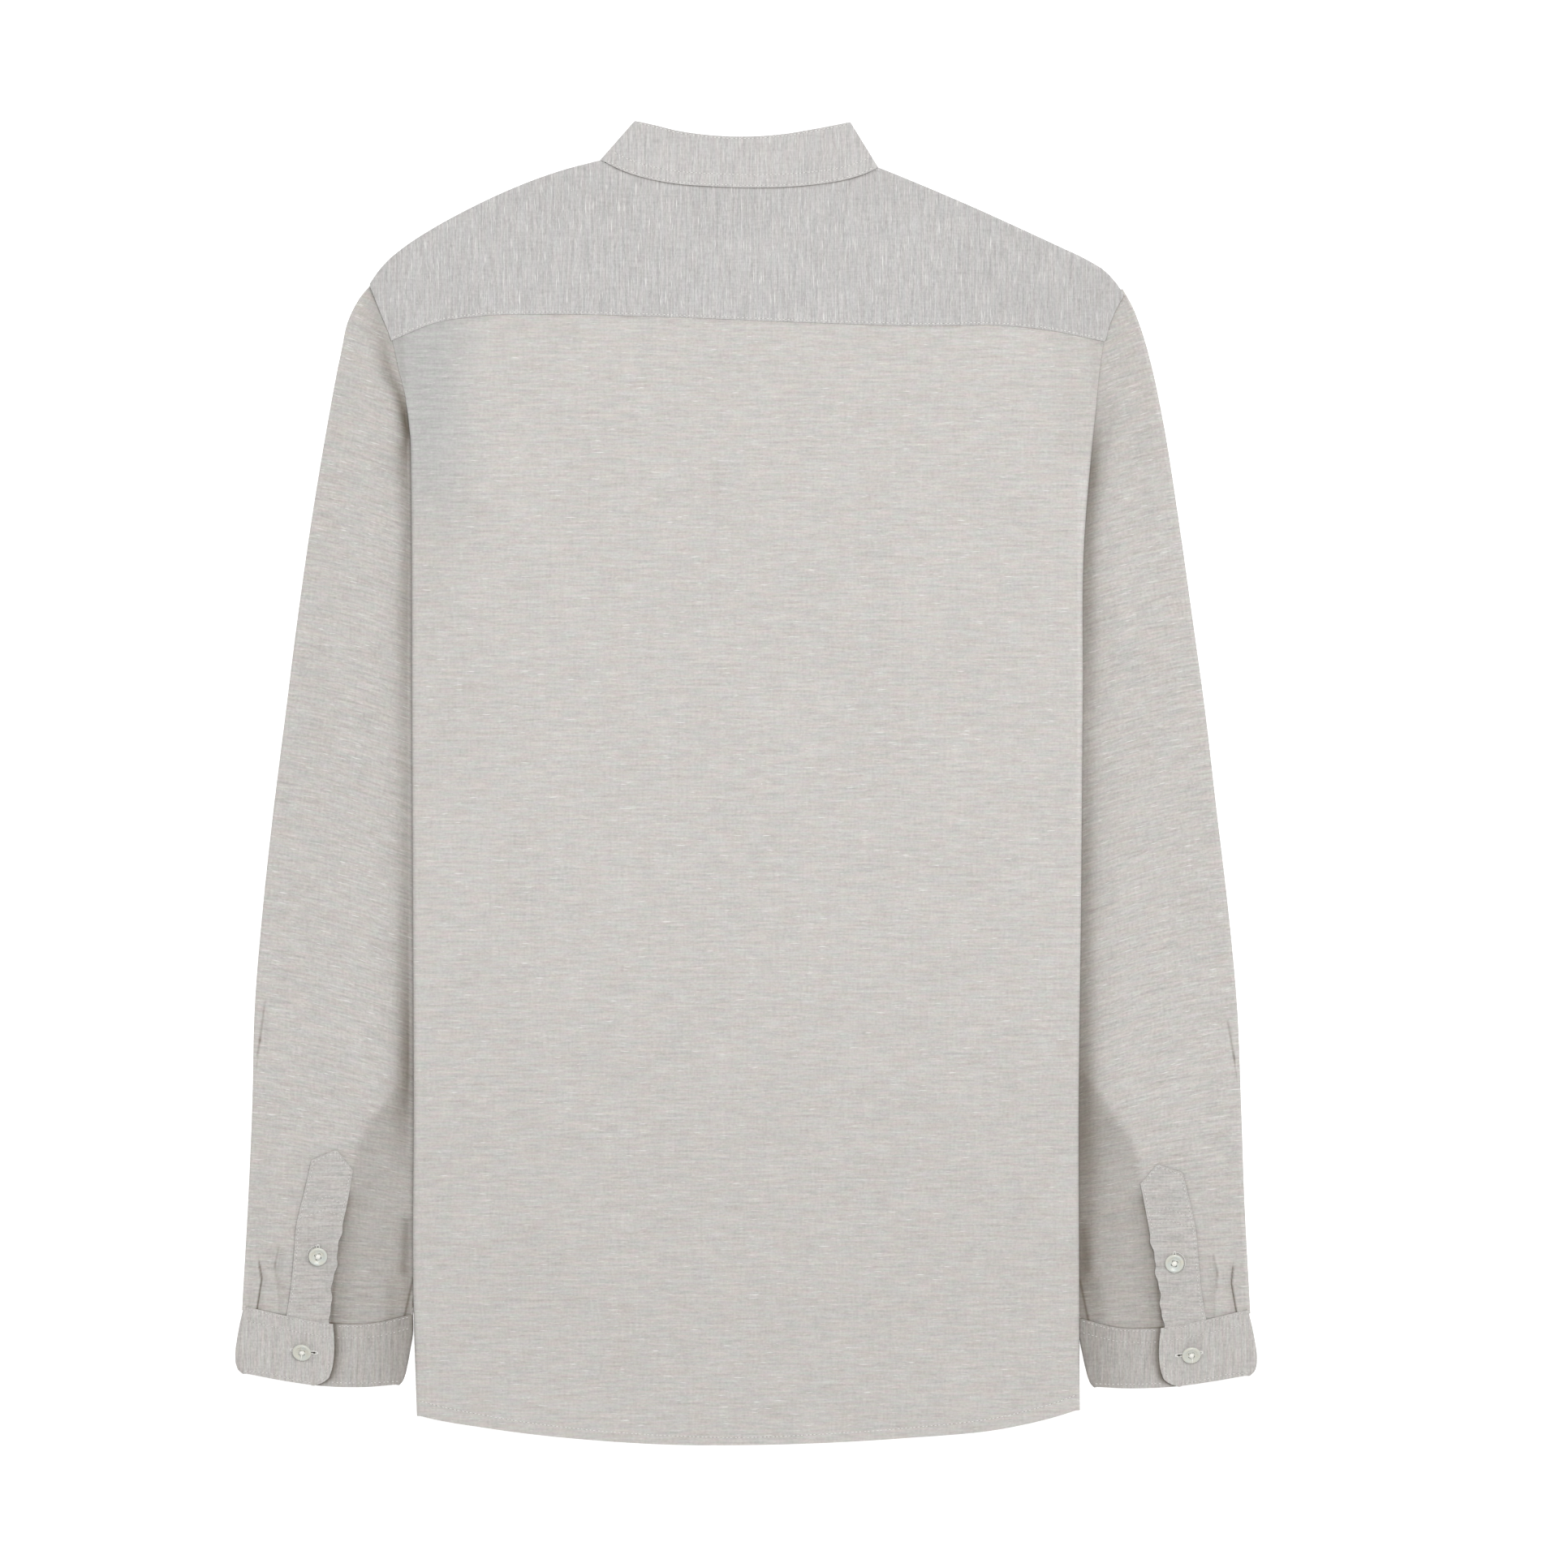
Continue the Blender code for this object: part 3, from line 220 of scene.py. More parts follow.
COLLAR_EDGE = table(
    "x y",
    (-67.3, 399.7),
    (-54.9, 397.0),
    (-41.6, 393.7),
    (-26.0, 391.4),
    (0.0, 390.1),
    (24.0, 391.8),
    (43.6, 395.1),
    (63.3, 398.9),
)
FRONT_NECK = table(
    "share left left_y right right_y",
    (0.0, 86.0, 374.5, 78.5, 370.0),
    (0.25, 78.0, 356.0, 71.5, 352.0),
    (0.5, 61.0, 330.5, 58.0, 328.5),
    (0.75, 36.0, 308.0, 36.0, 308.0),
    (1.0, 0.0, 297.0, 0.0, 297.0),
    (1.1, -14.0, 299.7, -14.0, 299.7),
)
FRONT_COLLAR_EDGE = table(
    "share out y",
    (0.0, 65.0, 397.0),
    (0.25, 54.0, 374.0),
    (0.5, 39.0, 352.0),
    (0.75, 22.0, 334.0),
    (1.0, 0.0, 327.5),
    (1.1, -14.0, 329.0),
)
# Levels at the sides, of the upper ply and of the tuck under it.
BACK_LEVELS = table(
    "y top low",
    (-400, 4.9, 0.5),
    (-340, 4.9, 0.5),
    (-275, 7.6, 3.1),
    (190, 7.6, 3.1),
    (205, 6.3, 3.1),
    (210, 5.9, 3.1),
    (222, 4.7, 3.1),
    (232, 3.1, 3.1),
    (400, 3.1, 3.1),
)
FRONT_LEVELS = table(
    "y top low",
    (-400, 3.1, 1.8),
    (-340, 3.1, 1.8),
    (-275, 5.7, 4.4),
    (190, 5.7, 4.4),
    (205, 4.6, 4.6),
    (210, 4.5, 4.5),
    (222, 3.1, 3.1),
    (240, 0.5, 0.5),
    (400, 0.5, 0.5),
)
# How far the front's side edges lie inside the back's.
FRONT_INSET = table(
    "y inset",
    (205, 1.9),
    (210, 11.3),
    (215, 9.1),
    (222, 6.0),
    (227, 3.7),
    (232, 1.3),
    (240, 0.8),
)
# Levels of the plies in the middle, over the placket.
MIDDLE_LEVELS = table(
    "y placket front back",
    (-400, 0.5, 1.8, 3.4),
    (-352, 0.5, 1.8, 3.4),
    (-310, 2.8, 4.1, 5.5),
    (250, 2.8, 4.1, 5.5),
    (285, 2.8, 4.1, 5.9),
    (400, 2.8, 4.1, 5.9),
)
# Radius of the sleeves' outer folds.
ROLL = table("y radius", (-320, 1.4), (-268, 2.0), (250, 2.0), (300, 0.65))
SLEEVE_TOP = {"left": 302.0, "right": 298.5}
MOUTH = table("share y", (0.0, 298.0), (0.3, 262.0), (0.45, 214.0), (1.0, 90.0))
# How far out what lies under the body starts.
REACH = table(
    "y x",
    (-400, 133.0),
    (20, 133.0),
    (90, 118.0),
    (150, 163.0),
    (190, 190.0),
    (214, 203.0),
    (240, 215.0),
    (400, 225.0),
)
# Cuffs: share from the outer end to the one by the body, and how far out each point lies.
CUFF_TOP = table(
    "share left_x left_y right_x right_y",
    (0.0, 303.8, -316.0, 303.8, -318.0),
    (0.25, 277.3, -321.6, 277.8, -323.9),
    (0.53, 249.4, -326.2, 250.6, -328.7),
    (0.8, 222.0, -325.6, 222.0, -328.4),
    (1.0, 201.6, -320.9, 201.6, -323.4),
)
CUFF_FOOT = table(
    "share left_x left_y right_x right_y",
    (0.0, 304.6, -356.0, 305.0, -357.2),
    (0.25, 281.5, -360.2, 282.0, -361.0),
    (0.53, 254.0, -363.8, 254.5, -364.4),
    (0.8, 227.4, -364.4, 227.0, -365.2),
    (1.0, 208.0, -363.0, 209.0, -364.4),
)
# How far the cuff's sides lie outside a straight line from foot to top, at heights h.
CUFF_SIDES = table(
    "h outer inner",
    (0.0, -0.6, 0.9),
    (0.05, 1.8, -0.7),
    (0.12, 3.1, -1.5),
    (0.3, 3.9, -2.2),
    (0.5, 3.1, -2.45),
    (0.75, 1.5, -2.5),
    (1.0, -0.6, -0.8),
)
CUFF_LAP_EDGE = table(
    "h share",
    (0.0, 0.462),
    (0.03, 0.491),
    (0.11, 0.537),
    (0.24, 0.556),
    (0.46, 0.561),
    (0.78, 0.547),
    (1.0, 0.53),
)
# Creases of the sleeves' upper ply, as ridges (height above 0) and troughs (below 0).
SLEEVE_FOLDS = table(
    "side x0 y0 x1 y1 width height",
    (-1, 202, -168, 213, -194, 13, 1.5),
    (-1, 213, -194, 231, -216, 14, 1.7),
    (-1, 216, -184, 240, -204, 13, -0.7),
    (-1, 290, -134, 296, -176, 5, -0.9),
    (-1, 216, 228, 211, 150, 14, 1.1),
    (-1, 213, 222, 208, 178, 6, -0.8),
    (-1, 236, -20, 262, -78, 22, 0.9),
    (-1, 226, 92, 250, 40, 24, 0.7),
    (-1, 212, -246, 238, -282, 16, 0.8),
    (-1, 206, -222, 220, -262, 12, -0.6),
    (1, 208, -186, 224, -207, 14, 1.7),
    (1, 224, -207, 232, -224, 12, 1.5),
    (1, 218, -184, 240, -208, 12, -0.6),
    (1, 291, -146, 297, -178, 5, -0.9),
    (1, 225, 230, 217, 150, 14, 1.1),
    (1, 220, 226, 212, 176, 6, -0.8),
    (1, 238, 8, 264, -60, 22, 0.9),
    (1, 228, 104, 252, 52, 24, 0.7),
    (1, 214, -252, 240, -286, 16, 0.8),
    (1, 206, -230, 220, -266, 12, -0.6),
)
# Shade in the sleeves beside the body: its depth there along the sleeve, and how wide it is.
SLEEVE_SHADE = table(
    "y left left_width right right_width",
    (-330, 0.28, 1.0, 0.40, 1.0),
    (-311, 0.28, 1.0, 0.42, 1.0),
    (-292, 0.24, 1.1, 0.60, 1.1),
    (-272, 0.14, 1.1, 0.52, 1.2),
    (-252, -0.05, 1.2, 0.44, 1.4),
    (-232, 0.05, 1.5, 0.50, 1.45),
    (-213, 0.22, 1.8, 0.55, 1.5),
    (-190, 0.48, 1.4, 0.55, 1.35),
    (-164, 0.72, 1.15, 0.54, 1.15),
    (-115, 0.48, 1.15, 0.46, 1.05),
    (-42, 0.29, 1.15, 0.42, 1.0),
    (32, 0.27, 1.15, 0.28, 1.0),
    (105, 0.40, 1.05, 0.44, 1.0),
    (154, 0.31, 0.8, 0.47, 0.85),
    (189, 0.46, 1.0, 0.58, 0.8),
    (205, 0.70, 0.9, 0.40, 0.8),
    (218, 0.85, 0.8, 0.16, 1.0),
    (240, 0.50, 0.8, 0.04, 1.0),
    (262, 0.28, 0.8, 0.0, 1.0),
    (282, 0.18, 0.8, 0.0, 1.0),
    (300, 0.04, 0.8, 0.0, 1.0),
)
# How it fades with the distance from the body, taken in that width.
SHADE_FADE = table(
    "beside left right",
    (0.0, 0.1, 1.0),
    (1.5, 0.42, 1.0),
    (3.0, 0.95, 1.0),
    (5.0, 0.86, 0.88),
    (7.4, 0.58, 0.58),
    (10.0, 0.26, 0.3),
    (14.0, 0.1, 0.12),
    (24.0, 0.0, 0.0),
)
# Painted shade of a valley in the left sleeve by the shoulder: how far beside the body it lies, and
# its width.
LEFT_VALLEY_SHADE = table(
    "y out width",
    (199, 1.4, 4.2),
    (213, 1.9, 4.4),
    (225, 2.3, 4.2),
    (233, 2.9, 4.2),
    (241, 4.6, 4.6),
    (247, 6.2, 5.0),
    (259, 6.4, 5.4),
    (270, 5.0, 5.0),
    (284, 3.0, 4.0),
    (300, 0.0, 3.0),
)
# Painted shade of faint creases in the back by the armholes, with a little painted shade outside
# them.
ARMHOLE_CREASE_SHADES = (
    {"way": -1, "y": (222.0, 240.0, 280.0), "out": (203.8, 204.6, 206.6), "shade": 0.12},
    {"way": 1, "y": (226.0, 245.0, 280.0), "out": (207.6, 207.9, 208.3), "shade": 0.06},
)
# Painted shade: how light the sleeves are drawn along their length.
SLEEVE_PAINTED_SHADE = table(
    "y tone",
    (-330, 0.92),
    (-250, 0.925),
    (-175, 0.965),
    (0, 0.945),
    (165, 0.945),
    (225, 0.905),
    (300, 0.905),
)
# Shade in the sleeve beside its placket's edge.
PLACKET_SHADE = table(
    "beside share",
    (-1.2, 0.0),
    (0.0, 0.44),
    (1.0, 0.4),
    (3.0, 0.2),
    (5.0, 0.14),
    (9.0, 0.06),
    (15.0, 0.0),
)
# Shade on a cuff's under end, beside the lap's edge and beside the body.
LAP_SHADE = table(
    "beside share",
    (-0.6, 0.0),
    (0.0, 0.68),
    (1.0, 0.6),
    (3.0, 0.3),
    (5.0, 0.12),
    (8.0, 0.02),
    (11.0, 0.0),
)
CUFF_SHADE = table(
    "beside share",
    (0.0, 0.42),
    (2.0, 0.4),
    (5.0, 0.34),
    (9.0, 0.29),
    (13.0, 0.23),
    (19.0, 0.17),
    (23.0, 0.1),
    (31.0, 0.06),
    (40.0, 0.0),
)
# Edge of the shaded cloth between the body and the sleeve's placket.
SLEEVE_HOLLOW = table(
    "y out", (-330, 251.0), (-253, 244.0), (-218, 236.0), (-171, 204.0), (-150, 190.0)
)
# Knife pleats above the cuffs: out is how far out the crease lies at each y, from the cuff up.
PLEATS = {
    "left": (
        {"y": (-319.0, -299.0, -286.0), "out": (296.2, 293.0, 295.2), "height": 1.4, "shade": 0.7},
        {"y": (-322.0, -296.0, -279.0), "out": (282.5, 283.7, 281.3), "height": 0.5, "shade": 0.06},
    ),
    "right": (
        {"y": (-321.0, -301.4, -289.0), "out": (297.2, 293.8, 295.2), "height": 1.4, "shade": 0.7},
        {"y": (-324.0, -297.0, -284.0), "out": (283.3, 284.2, 281.8), "height": 0.5, "shade": 0.06},
    ),
}
PLEAT_REACH = 8.0
PLEAT_DROP = 0.8
# Sharp creases of the sleeves' upper ply, drawn only as painted shade: their ends, width and depth
# of shade. The deepest, by the left cuff beside the body, paints the shadow in the gap there.
SLEEVE_CREASE_SHADES = table(
    "side x0 y0 x1 y1 width shade",
    (-1, 290.6, -134.3, 293.2, -155.0, 0.7, 0.32),
    (-1, 293.2, -155.0, 296.6, -176.4, 0.7, 0.34),
    (-1, 200.9, -299.0, 206.3, -323.0, 0.8, 0.5),
    (-1, 205.0, -264.0, 206.5, -294.0, 2.4, 0.26),
    (-1, 213.6, -300.0, 214.4, -325.0, 3.6, 0.16),
    (-1, 216.0, -196.0, 228.0, -207.0, 3.0, 0.06),
    (-1, 282.0, -281.0, 284.0, -290.5, 0.6, 0.26),
    (-1, 284.0, -290.5, 283.6, -298.5, 0.6, 0.24),
    (-1, 281.0, -303.0, 275.5, -307.0, 1.4, 0.08),
    (-1, 200.8, -313.0, 200.6, -326.0, 0.6, 0.7),
    (1, 291.1, -146.0, 294.5, -165.1, 0.7, 0.32),
    (1, 294.5, -165.1, 297.0, -180.0, 0.7, 0.34),
    (1, 201.9, -301.4, 206.8, -325.0, 0.8, 0.5),
    (1, 204.4, -270.0, 206.6, -294.0, 2.6, 0.2),
    (1, 211.0, -300.0, 213.6, -322.0, 4.4, 0.2),
    (1, 216.0, -200.0, 229.0, -214.0, 3.0, 0.06),
    (1, 282.4, -286.0, 284.4, -295.5, 0.6, 0.26),
    (1, 284.4, -295.5, 284.0, -303.0, 0.6, 0.24),
    (1, 281.6, -307.0, 276.0, -311.5, 1.4, 0.08),
)
# How steeply the sleeves' weft falls towards the body.
WEFT_SLOPE = table(
    "y slope",
    (-330, 0.02),
    (-270, 0.09),
    (-190, 0.24),
    (-60, 0.27),
    (120, 0.3),
    (210, 0.38),
    (260, 0.52),
    (300, 0.66),
)
# The sleeve plackets: their edges by the share of their height, and their pointed heads.
GAUNTLET = table(
    "share left_in left_out right_in right_out",
    (0.0, 250.9, 277.2, 252.0, 277.8),
    (0.2, 250.0, 274.4, 250.0, 274.9),
    (0.4, 247.0, 272.6, 247.4, 273.2),
    (0.6, 244.2, 271.0, 244.6, 271.6),
    (0.8, 240.2, 266.4, 241.4, 268.0),
    (1.0, 237.0, 262.0, 238.0, 263.4),
)
GAUNTLET_HEAD = table(
    "share left right",
    (0.0, -233.5, -241.6),
    (0.4, -221.0, -229.8),
    (1.0, -227.4, -234.9),
)
# Where the buttons are, and how far those of the sleeves lean.
CUFF_BUTTONS = {"left": (-267.6, -342.8), "right": (268.5, -344.4)}
GAUNTLET_BUTTONS = {"left": (-258.1, -285.3), "right": (258.5, -289.4)}
COLLAR_BUTTON = (0.0, 311.5)
CUFF_BUTTON_TILT = math.radians(31)
GAUNTLET_BUTTON_TILT = math.radians(15)


# Curves and levels, the same as the solids' ------------------------------------------------------


def curve(knots, values, at):
    """A smooth curve through a table's rows, with straight ends beyond them."""
    slope = np.gradient(values, knots)
    row = np.clip(np.searchsorted(knots, at) - 1, 0, len(knots) - 2)
    span = knots[row + 1] - knots[row]
    t = (np.clip(at, knots[0], knots[-1]) - knots[row]) / span
    near = (1 + 2 * t) * (1 - t) ** 2 * values[row] + t * (1 - t) ** 2 * span * slope[row]
    far = t * t * (3 - 2 * t) * values[row + 1] - t * t * (1 - t) * span * slope[row + 1]
    beyond = (at - np.clip(at, knots[0], knots[-1])) * np.where(at < knots[0], slope[0], slope[-1])
    return near + far + beyond


def smooth(rows, column, at):
    """A table's column along a smooth curve, by its first column."""
    return curve(next(iter(rows.values())), rows[column], at)


def straight(rows, column, at):
    """A table's column along straight lines, by its first column."""
    return np.interp(at, next(iter(rows.values())), rows[column])


def step(t):
    """0 to 1, level at both ends."""
    t = np.clip(t, 0.0, 1.0)
    return t * t * (3 - 2 * t)


def rising(value, start, run):
    """0 up to the start, then softly up to 1 over the run."""
    return step((value - start) / run)


def falling(value, stop, run):
    """1, then softly down over the run to 0 at the stop."""
    return step((stop - value) / run)


def mix(a, b, t):
    return a + (b - a) * t


def spread(*stops):
    """Values from the first stop on, each further stop with the number of steps that lead to it."""
    values = [stops[0]]
    for stop, count in stops[1:]:
        values += list(np.linspace(values[-1], stop, count + 1)[1:])
    return values


def shares_of(rows):
    """Where each row lies between the first at 0 and the last at 1."""
    return [(y - rows[0]) / (rows[-1] - rows[0]) for y in rows]


def by_side(x, values):
    """The left value where x is below 0, elsewhere the right one."""
    return np.where(x < 0, values["left"], values["right"])


def body_side(side, y):
    return smooth(BODY_SIDE, side, y)


def sleeve_side(side, y):
    return smooth(SLEEVE_SIDE, side, y)


def sleeve_roll(y):
    return straight(ROLL, "radius", y)


def hem(x):
    return smooth(HEM, "y", x)


def yoke_seam(x):
    return smooth(YOKE_SEAM, "y", x)


def neck_seam(x):
    return smooth(NECK_SEAM, "y", x)


def shoulder(side, x):
    return smooth(SHOULDER, side, np.abs(x))


def front_neck(side, out):
    return curve(FRONT_NECK[side][::-1], FRONT_NECK[side + "_y"][::-1], out)


def front_foot(x):
    return hem(x) + FRONT_HEM_RISE


def cuff_top(side, out):
    return curve(CUFF_TOP[side + "_x"][::-1], CUFF_TOP[side + "_y"][::-1], out)


def pressed(x, y):
    """1 where a body ply lies over the tuck or a sleeve, falling to 0 towards the middle."""
    reach = straight(REACH, "x", y)
    return step((np.abs(x) - (reach - CLEAR - FALL)) / FALL)


def ripple(x, y, *waves):
    """Soft uneven waves, each with its height, length, direction in degrees and phase."""
    total = 0.0
    for height, length, direction, phase in waves:
        angle = math.radians(direction)
        along = x * math.cos(angle) + y * math.sin(angle)
        bend = 0.35 * np.sin((x * math.sin(angle) - y * math.cos(angle)) / (1.7 * length) + phase)
        total = total + height * np.sin(2 * math.pi * (along / length + bend) + phase)
    return total


def back_waves(x, y):
    inside = falling(np.abs(x), 215.0, 25.0)
    return inside * ripple(
        x,
        y,
        (0.28, 150.0, 68.0, 0.4),
        (0.18, 92.0, 104.0, 2.1),
        (0.12, 61.0, 24.0, 4.0),
    )


def back_top(x, y):
    plain = mix(straight(MIDDLE_LEVELS, "back", y), straight(BACK_LEVELS, "top", y), pressed(x, y))
    return plain + back_waves(x, y) * rising(y, -395, 60)


def front_top(x, y):
    over_placket = falling(np.abs(x), 48.0, 30.0)
    inner = mix(REST, straight(MIDDLE_LEVELS, "front", y), over_placket)
    return mix(inner, straight(FRONT_LEVELS, "top", y), pressed(x, y))


# Making cloth ------------------------------------------------------------------------------------


MERGE = 2e-6  # points of one sheet closer than this, in metres, are one
SHARP = math.radians(50)
BUTTON_SHARP = math.radians(38)


class Sheet:
    """A cloth piece in the making: a mesh with each point's place in the cloth, painted shade and
    chill.
    """

    def __init__(self):
        self.bm = bmesh.new()
        self.cloth = self.bm.verts.layers.float_vector.new("cloth")
        self.chill = self.bm.verts.layers.float.new("chill")

    def lay(self, place, us, vs, tone=None, chill=None):
        """Adds a grid. place gives x, y and z and the cloth's s and t for arrays of u and v.

        The tone scales the cloth's colour to paint light and shade, and chill turns it bluer, both
        by x and y.
        """
        u, v = np.meshgrid(np.array(us, float), np.array(vs, float))
        x, y, z, s, t = np.broadcast_arrays(*place(u, v))
        painted_shades = np.ones(x.shape) if tone is None else tone(x, y) + 0.0 * x
        chills = np.zeros(x.shape) if chill is None else chill(x, y) + 0.0 * x
        wide, high = len(us) - 1, len(vs) - 1
        grid = bmesh.ops.create_grid(self.bm, x_segments=wide, y_segments=high, size=1.0)
        points = np.stack([x, y, z], -1).reshape(-1, 3) * MM
        # The cloth attribute carries s, t and the painted light and shade.
        cloth = np.stack([s, t, painted_shades], -1).reshape(-1, 3)
        for vert, point, own, cold in zip(grid["verts"], points, cloth, chills.ravel()):
            vert.co = point
            vert[self.cloth] = own
            vert[self.chill] = cold

    def finish(self, name, material, wall):
        """The piece as a closed shell round its sheet."""
        bmesh.ops.remove_doubles(self.bm, verts=self.bm.verts, dist=MERGE)
        bmesh.ops.recalc_face_normals(self.bm, faces=self.bm.faces)
        mesh = bpy.data.meshes.new(name)
        self.bm.to_mesh(mesh)
        self.bm.free()
        mesh.materials.append(material)
        piece = bpy.data.objects.new(name, mesh)
        bpy.context.scene.collection.objects.link(piece)
        modifier = piece.modifiers.new("Wall", "SOLIDIFY")
        modifier.thickness = wall * MM
        modifier.offset = 0.0
        settle(piece)
        piece.data.shade_smooth()
        piece.data.set_sharp_from_angle(angle=SHARP)
        return piece


def settle(piece):
    """Applies a piece's modifiers."""
    view = bpy.context.evaluated_depsgraph_get()
    mesh = bpy.data.meshes.new_from_object(piece.evaluated_get(view))
    piece.modifiers.clear()
    piece.data = mesh
    mesh.name = piece.name


def keep(piece, node):
    """The piece stands for its solid."""
    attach(piece, "root")
    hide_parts(node)
    return piece


def half_panel(side, piece, inner):
    """One half of a body panel, from x = inner out to the side's fold, and the tuck under it.

    Gives the two surfaces and the rows of each.
    """
    way = SIDES[side]
    foot, head, rows, levels = piece["foot"], piece["head"], piece["rows"], piece["levels"]
    fold_top = piece["fold_top"]
    shares = shares_of(rows)
    fold_share = shares[rows.index(fold_top)]
    ends = [foot(way * 200.0), head(way * 215.0)]  # a first guess, made exact below

    def edge_of(v):
        """y, start of the turn, its radius and its two levels, at the side edge."""
        y = np.interp(v, (0.0, fold_share, 1.0), (ends[0], fold_top, ends[1]))
        top, low = straight(levels, "top", y), straight(levels, "low", y)
        radius = (top - low) / 2
        return y, piece["edge"](side, y) - CLOTH / 2 - radius, radius, top, low

    for _ in range(4):
        ends = [foot(way * edge_of(0.0)[1]), head(way * edge_of(1.0)[1])]

    def above(u, v):
        edge_y, start = edge_of(v)[:2]
        x = mix(inner, way * start, u)
        at_edge = mix(foot(way * start), head(way * start), v)
        y = mix(foot(x), head(x), v) + (edge_y - at_edge) * u
        return x, y, piece["level"](x, y), x, y

    def under(u, v):
        edge_y, start, radius, top, low = edge_of(v)
        width = piece["tuck"] * np.clip((fold_top - edge_y) / (fold_top - SEAM_FOOT), 0.0, 1.0)
        past = math.pi * radius * np.minimum(u, 1.0) + width * np.maximum(u - 1, 0.0)
        angle = np.clip(past / np.maximum(radius, 1e-6), 0.0, math.pi)
        x = start + radius * np.sin(angle) - np.maximum(past - math.pi * radius, 0.0)
        z = (top + low) / 2 + radius * np.cos(angle)
        z = z + (piece["level"](way * start, edge_y) - top) * (1 + np.cos(angle)) / 2
        inward = np.clip(u - 1, 0.0, 1.0)
        y = edge_y + piece["hem_rise"] * inward**2 * np.clip(1 - v / fold_share, 0.0, 1.0)
        return way * x, y, z, way * (start + past), y

    return above, under, shares, [v for v in shares if v <= fold_share]


def lay_half(sheet, side, piece, inner, us, turn, tone=None, chill=None):
    """Adds the two surfaces of half a body panel to a sheet."""
    above, under, rows, turn_rows = half_panel(side, piece, inner)
    sheet.lay(above, us, rows, tone, chill)
    sheet.lay(under, turn, turn_rows, tone, chill)


# Forms -------------------------------------------------------------------------------------------

YOKE_SEAM_LAP = 7.0  # how far below the yoke's seam the back starts to sink
YOKE_SEAM_SINK = 0.15
YOKE_REACH = 3.0  # how far the back reaches under the yoke


def hem_lift(x, y):
    """The turned hem is two plies thicker, as far as its stitching."""
    return HEM_STEP * (1 - rising(y - hem(x) - HEM_DEPTH, 0.2, 0.9))


def back_level(x, y):
    beneath_yoke = rising(y - yoke_seam(x), -YOKE_SEAM_LAP, YOKE_SEAM_LAP)
    return back_top(x, y) + hem_lift(x, y) - YOKE_SEAM_SINK * beneath_yoke


def back_piece():
    def head(x):
        return yoke_seam(x) + YOKE_REACH

    rows = spread(-380.0, (-375.0, 5), (-373.0, 3), (-340, 8), (-275, 16), (190, 112))
    rows += spread(190, (205, 6), (210, 3))[1:]
    rows += spread(222.0, (BACK_FOLD_TOP, 3), (262, 10), (269, 4))
    return {
        "foot": hem,
        "head": head,
        "rows": rows,
        "levels": BACK_LEVELS,
        "level": back_level,
        "edge": body_side,
        "fold_top": BACK_FOLD_TOP,
        "tuck": TUCK,
        "hem_rise": 24.0,
    }


def back_painted_shading(x, y):
    """Painted shade, a little darker by the armholes, the left side and the hem; painted light
    makes the side folds pale.
    """
    left = 0.11 * rising(-x, 150, 45.0) * rising(y, 90, 110.0)
    right = 0.05 * rising(x, 178, 18.0) * rising(y, 190, 20.0)
    low = 0.035 * falling(y, -60, 190.0)
    beside = 0.02 * rising(-x, 150, 40.0) * rising(y, -60, 120.0)
    armhole = 0.0
    for line in ARMHOLE_CREASE_SHADES:
        out = np.interp(y, line["y"], line["out"])
        ends = step((y - line["y"][0]) / 12.0) * step((line["y"][-1] - y) / 6.0)
        armhole = armhole + line["shade"] * ends * step((line["way"] * x - out) / 0.7)
    # Painted light: the side folds are drawn paler.
    fold = 1.0 + 0.08 * rising(np.abs(x), 199.0, 2.0) * falling(y, 200.0, 20.0)
    return (1 - left - right) * (1 - low) * (1 - beside) * (1 - armhole) * fold


def back_chill(x, y):
    """The cloth looks bluer by the left armhole."""
    return rising(-x, 150, 40.0) * rising(y, 130, 80.0)


FRONT_ROWS = spread(-368.0, (-363.0, 5), (-361.0, 3), (-340, 4), (-275, 10), (190, 70))
FRONT_ROWS += spread(FRONT_FOLD_TOP, (210, 3), (222, 4), (232, 4), (240, 3), (276, 10))


def front_head(side, x):
    out = np.abs(x)
    seam = shoulder(side, out) - YOKE_FLAP
    return np.where(out < NECK_POINT[side], front_neck(side, out), seam) - 0.3


def front_edge(side, y):
    return body_side(side, y) - straight(FRONT_INSET, "inset", y)


def front_piece(side):
    def head(x):
        return front_head(side, x)

    return {
        "foot": front_foot,
        "head": head,
        "rows": FRONT_ROWS,
        "levels": FRONT_LEVELS,
        "level": front_top,
        "edge": front_edge,
        "fold_top": FRONT_FOLD_TOP,
        "tuck": TUCK - FRONT_INSET["inset"][0],
        "hem_rise": 16.0,
    }


def placket_place(u, v):
    """u from -1 to 1 across, v from the hem to the neck."""
    x = u * PLACKET_WIDTH / 2
    y = mix(front_foot(x), front_head("left", x), v)
    return x, y, straight(MIDDLE_LEVELS, "placket", y), y, x


YOKE_FOLD_LEVEL = 4.6
YOKE_RADIUS = (YOKE_FOLD_LEVEL - REST) / 2
YOKE_UNDER_COLLAR = 2.5  # how far the yoke reaches under the collar
YOKE_BELOW_COLLAR = 0.75  # how much it lies lower there
YOKE_NECK_FADE = 28.0  # width beside the neck over which the shoulder's fold ends
YOKE_FALL = 40.0  # height over which the yoke falls to the shoulder's fold
YOKE_WAVE = 0.12
# How far out the yoke starts at the neck, and how far out its ends are at the fold and the seams.
YOKE_NECK = {"left": 85.2, "right": 77.2}
YOKE_TIP = {"left": 226.6, "right": 227.6}
YOKE_SEAM_TIP = {"left": 216.6, "right": 216.3}
YOKE_FOOT_TIP = {"left": 213.9, "right": 216.6}


def fold_y(side, out):
    return shoulder(side, out) - YOKE_RADIUS - CLOTH / 2


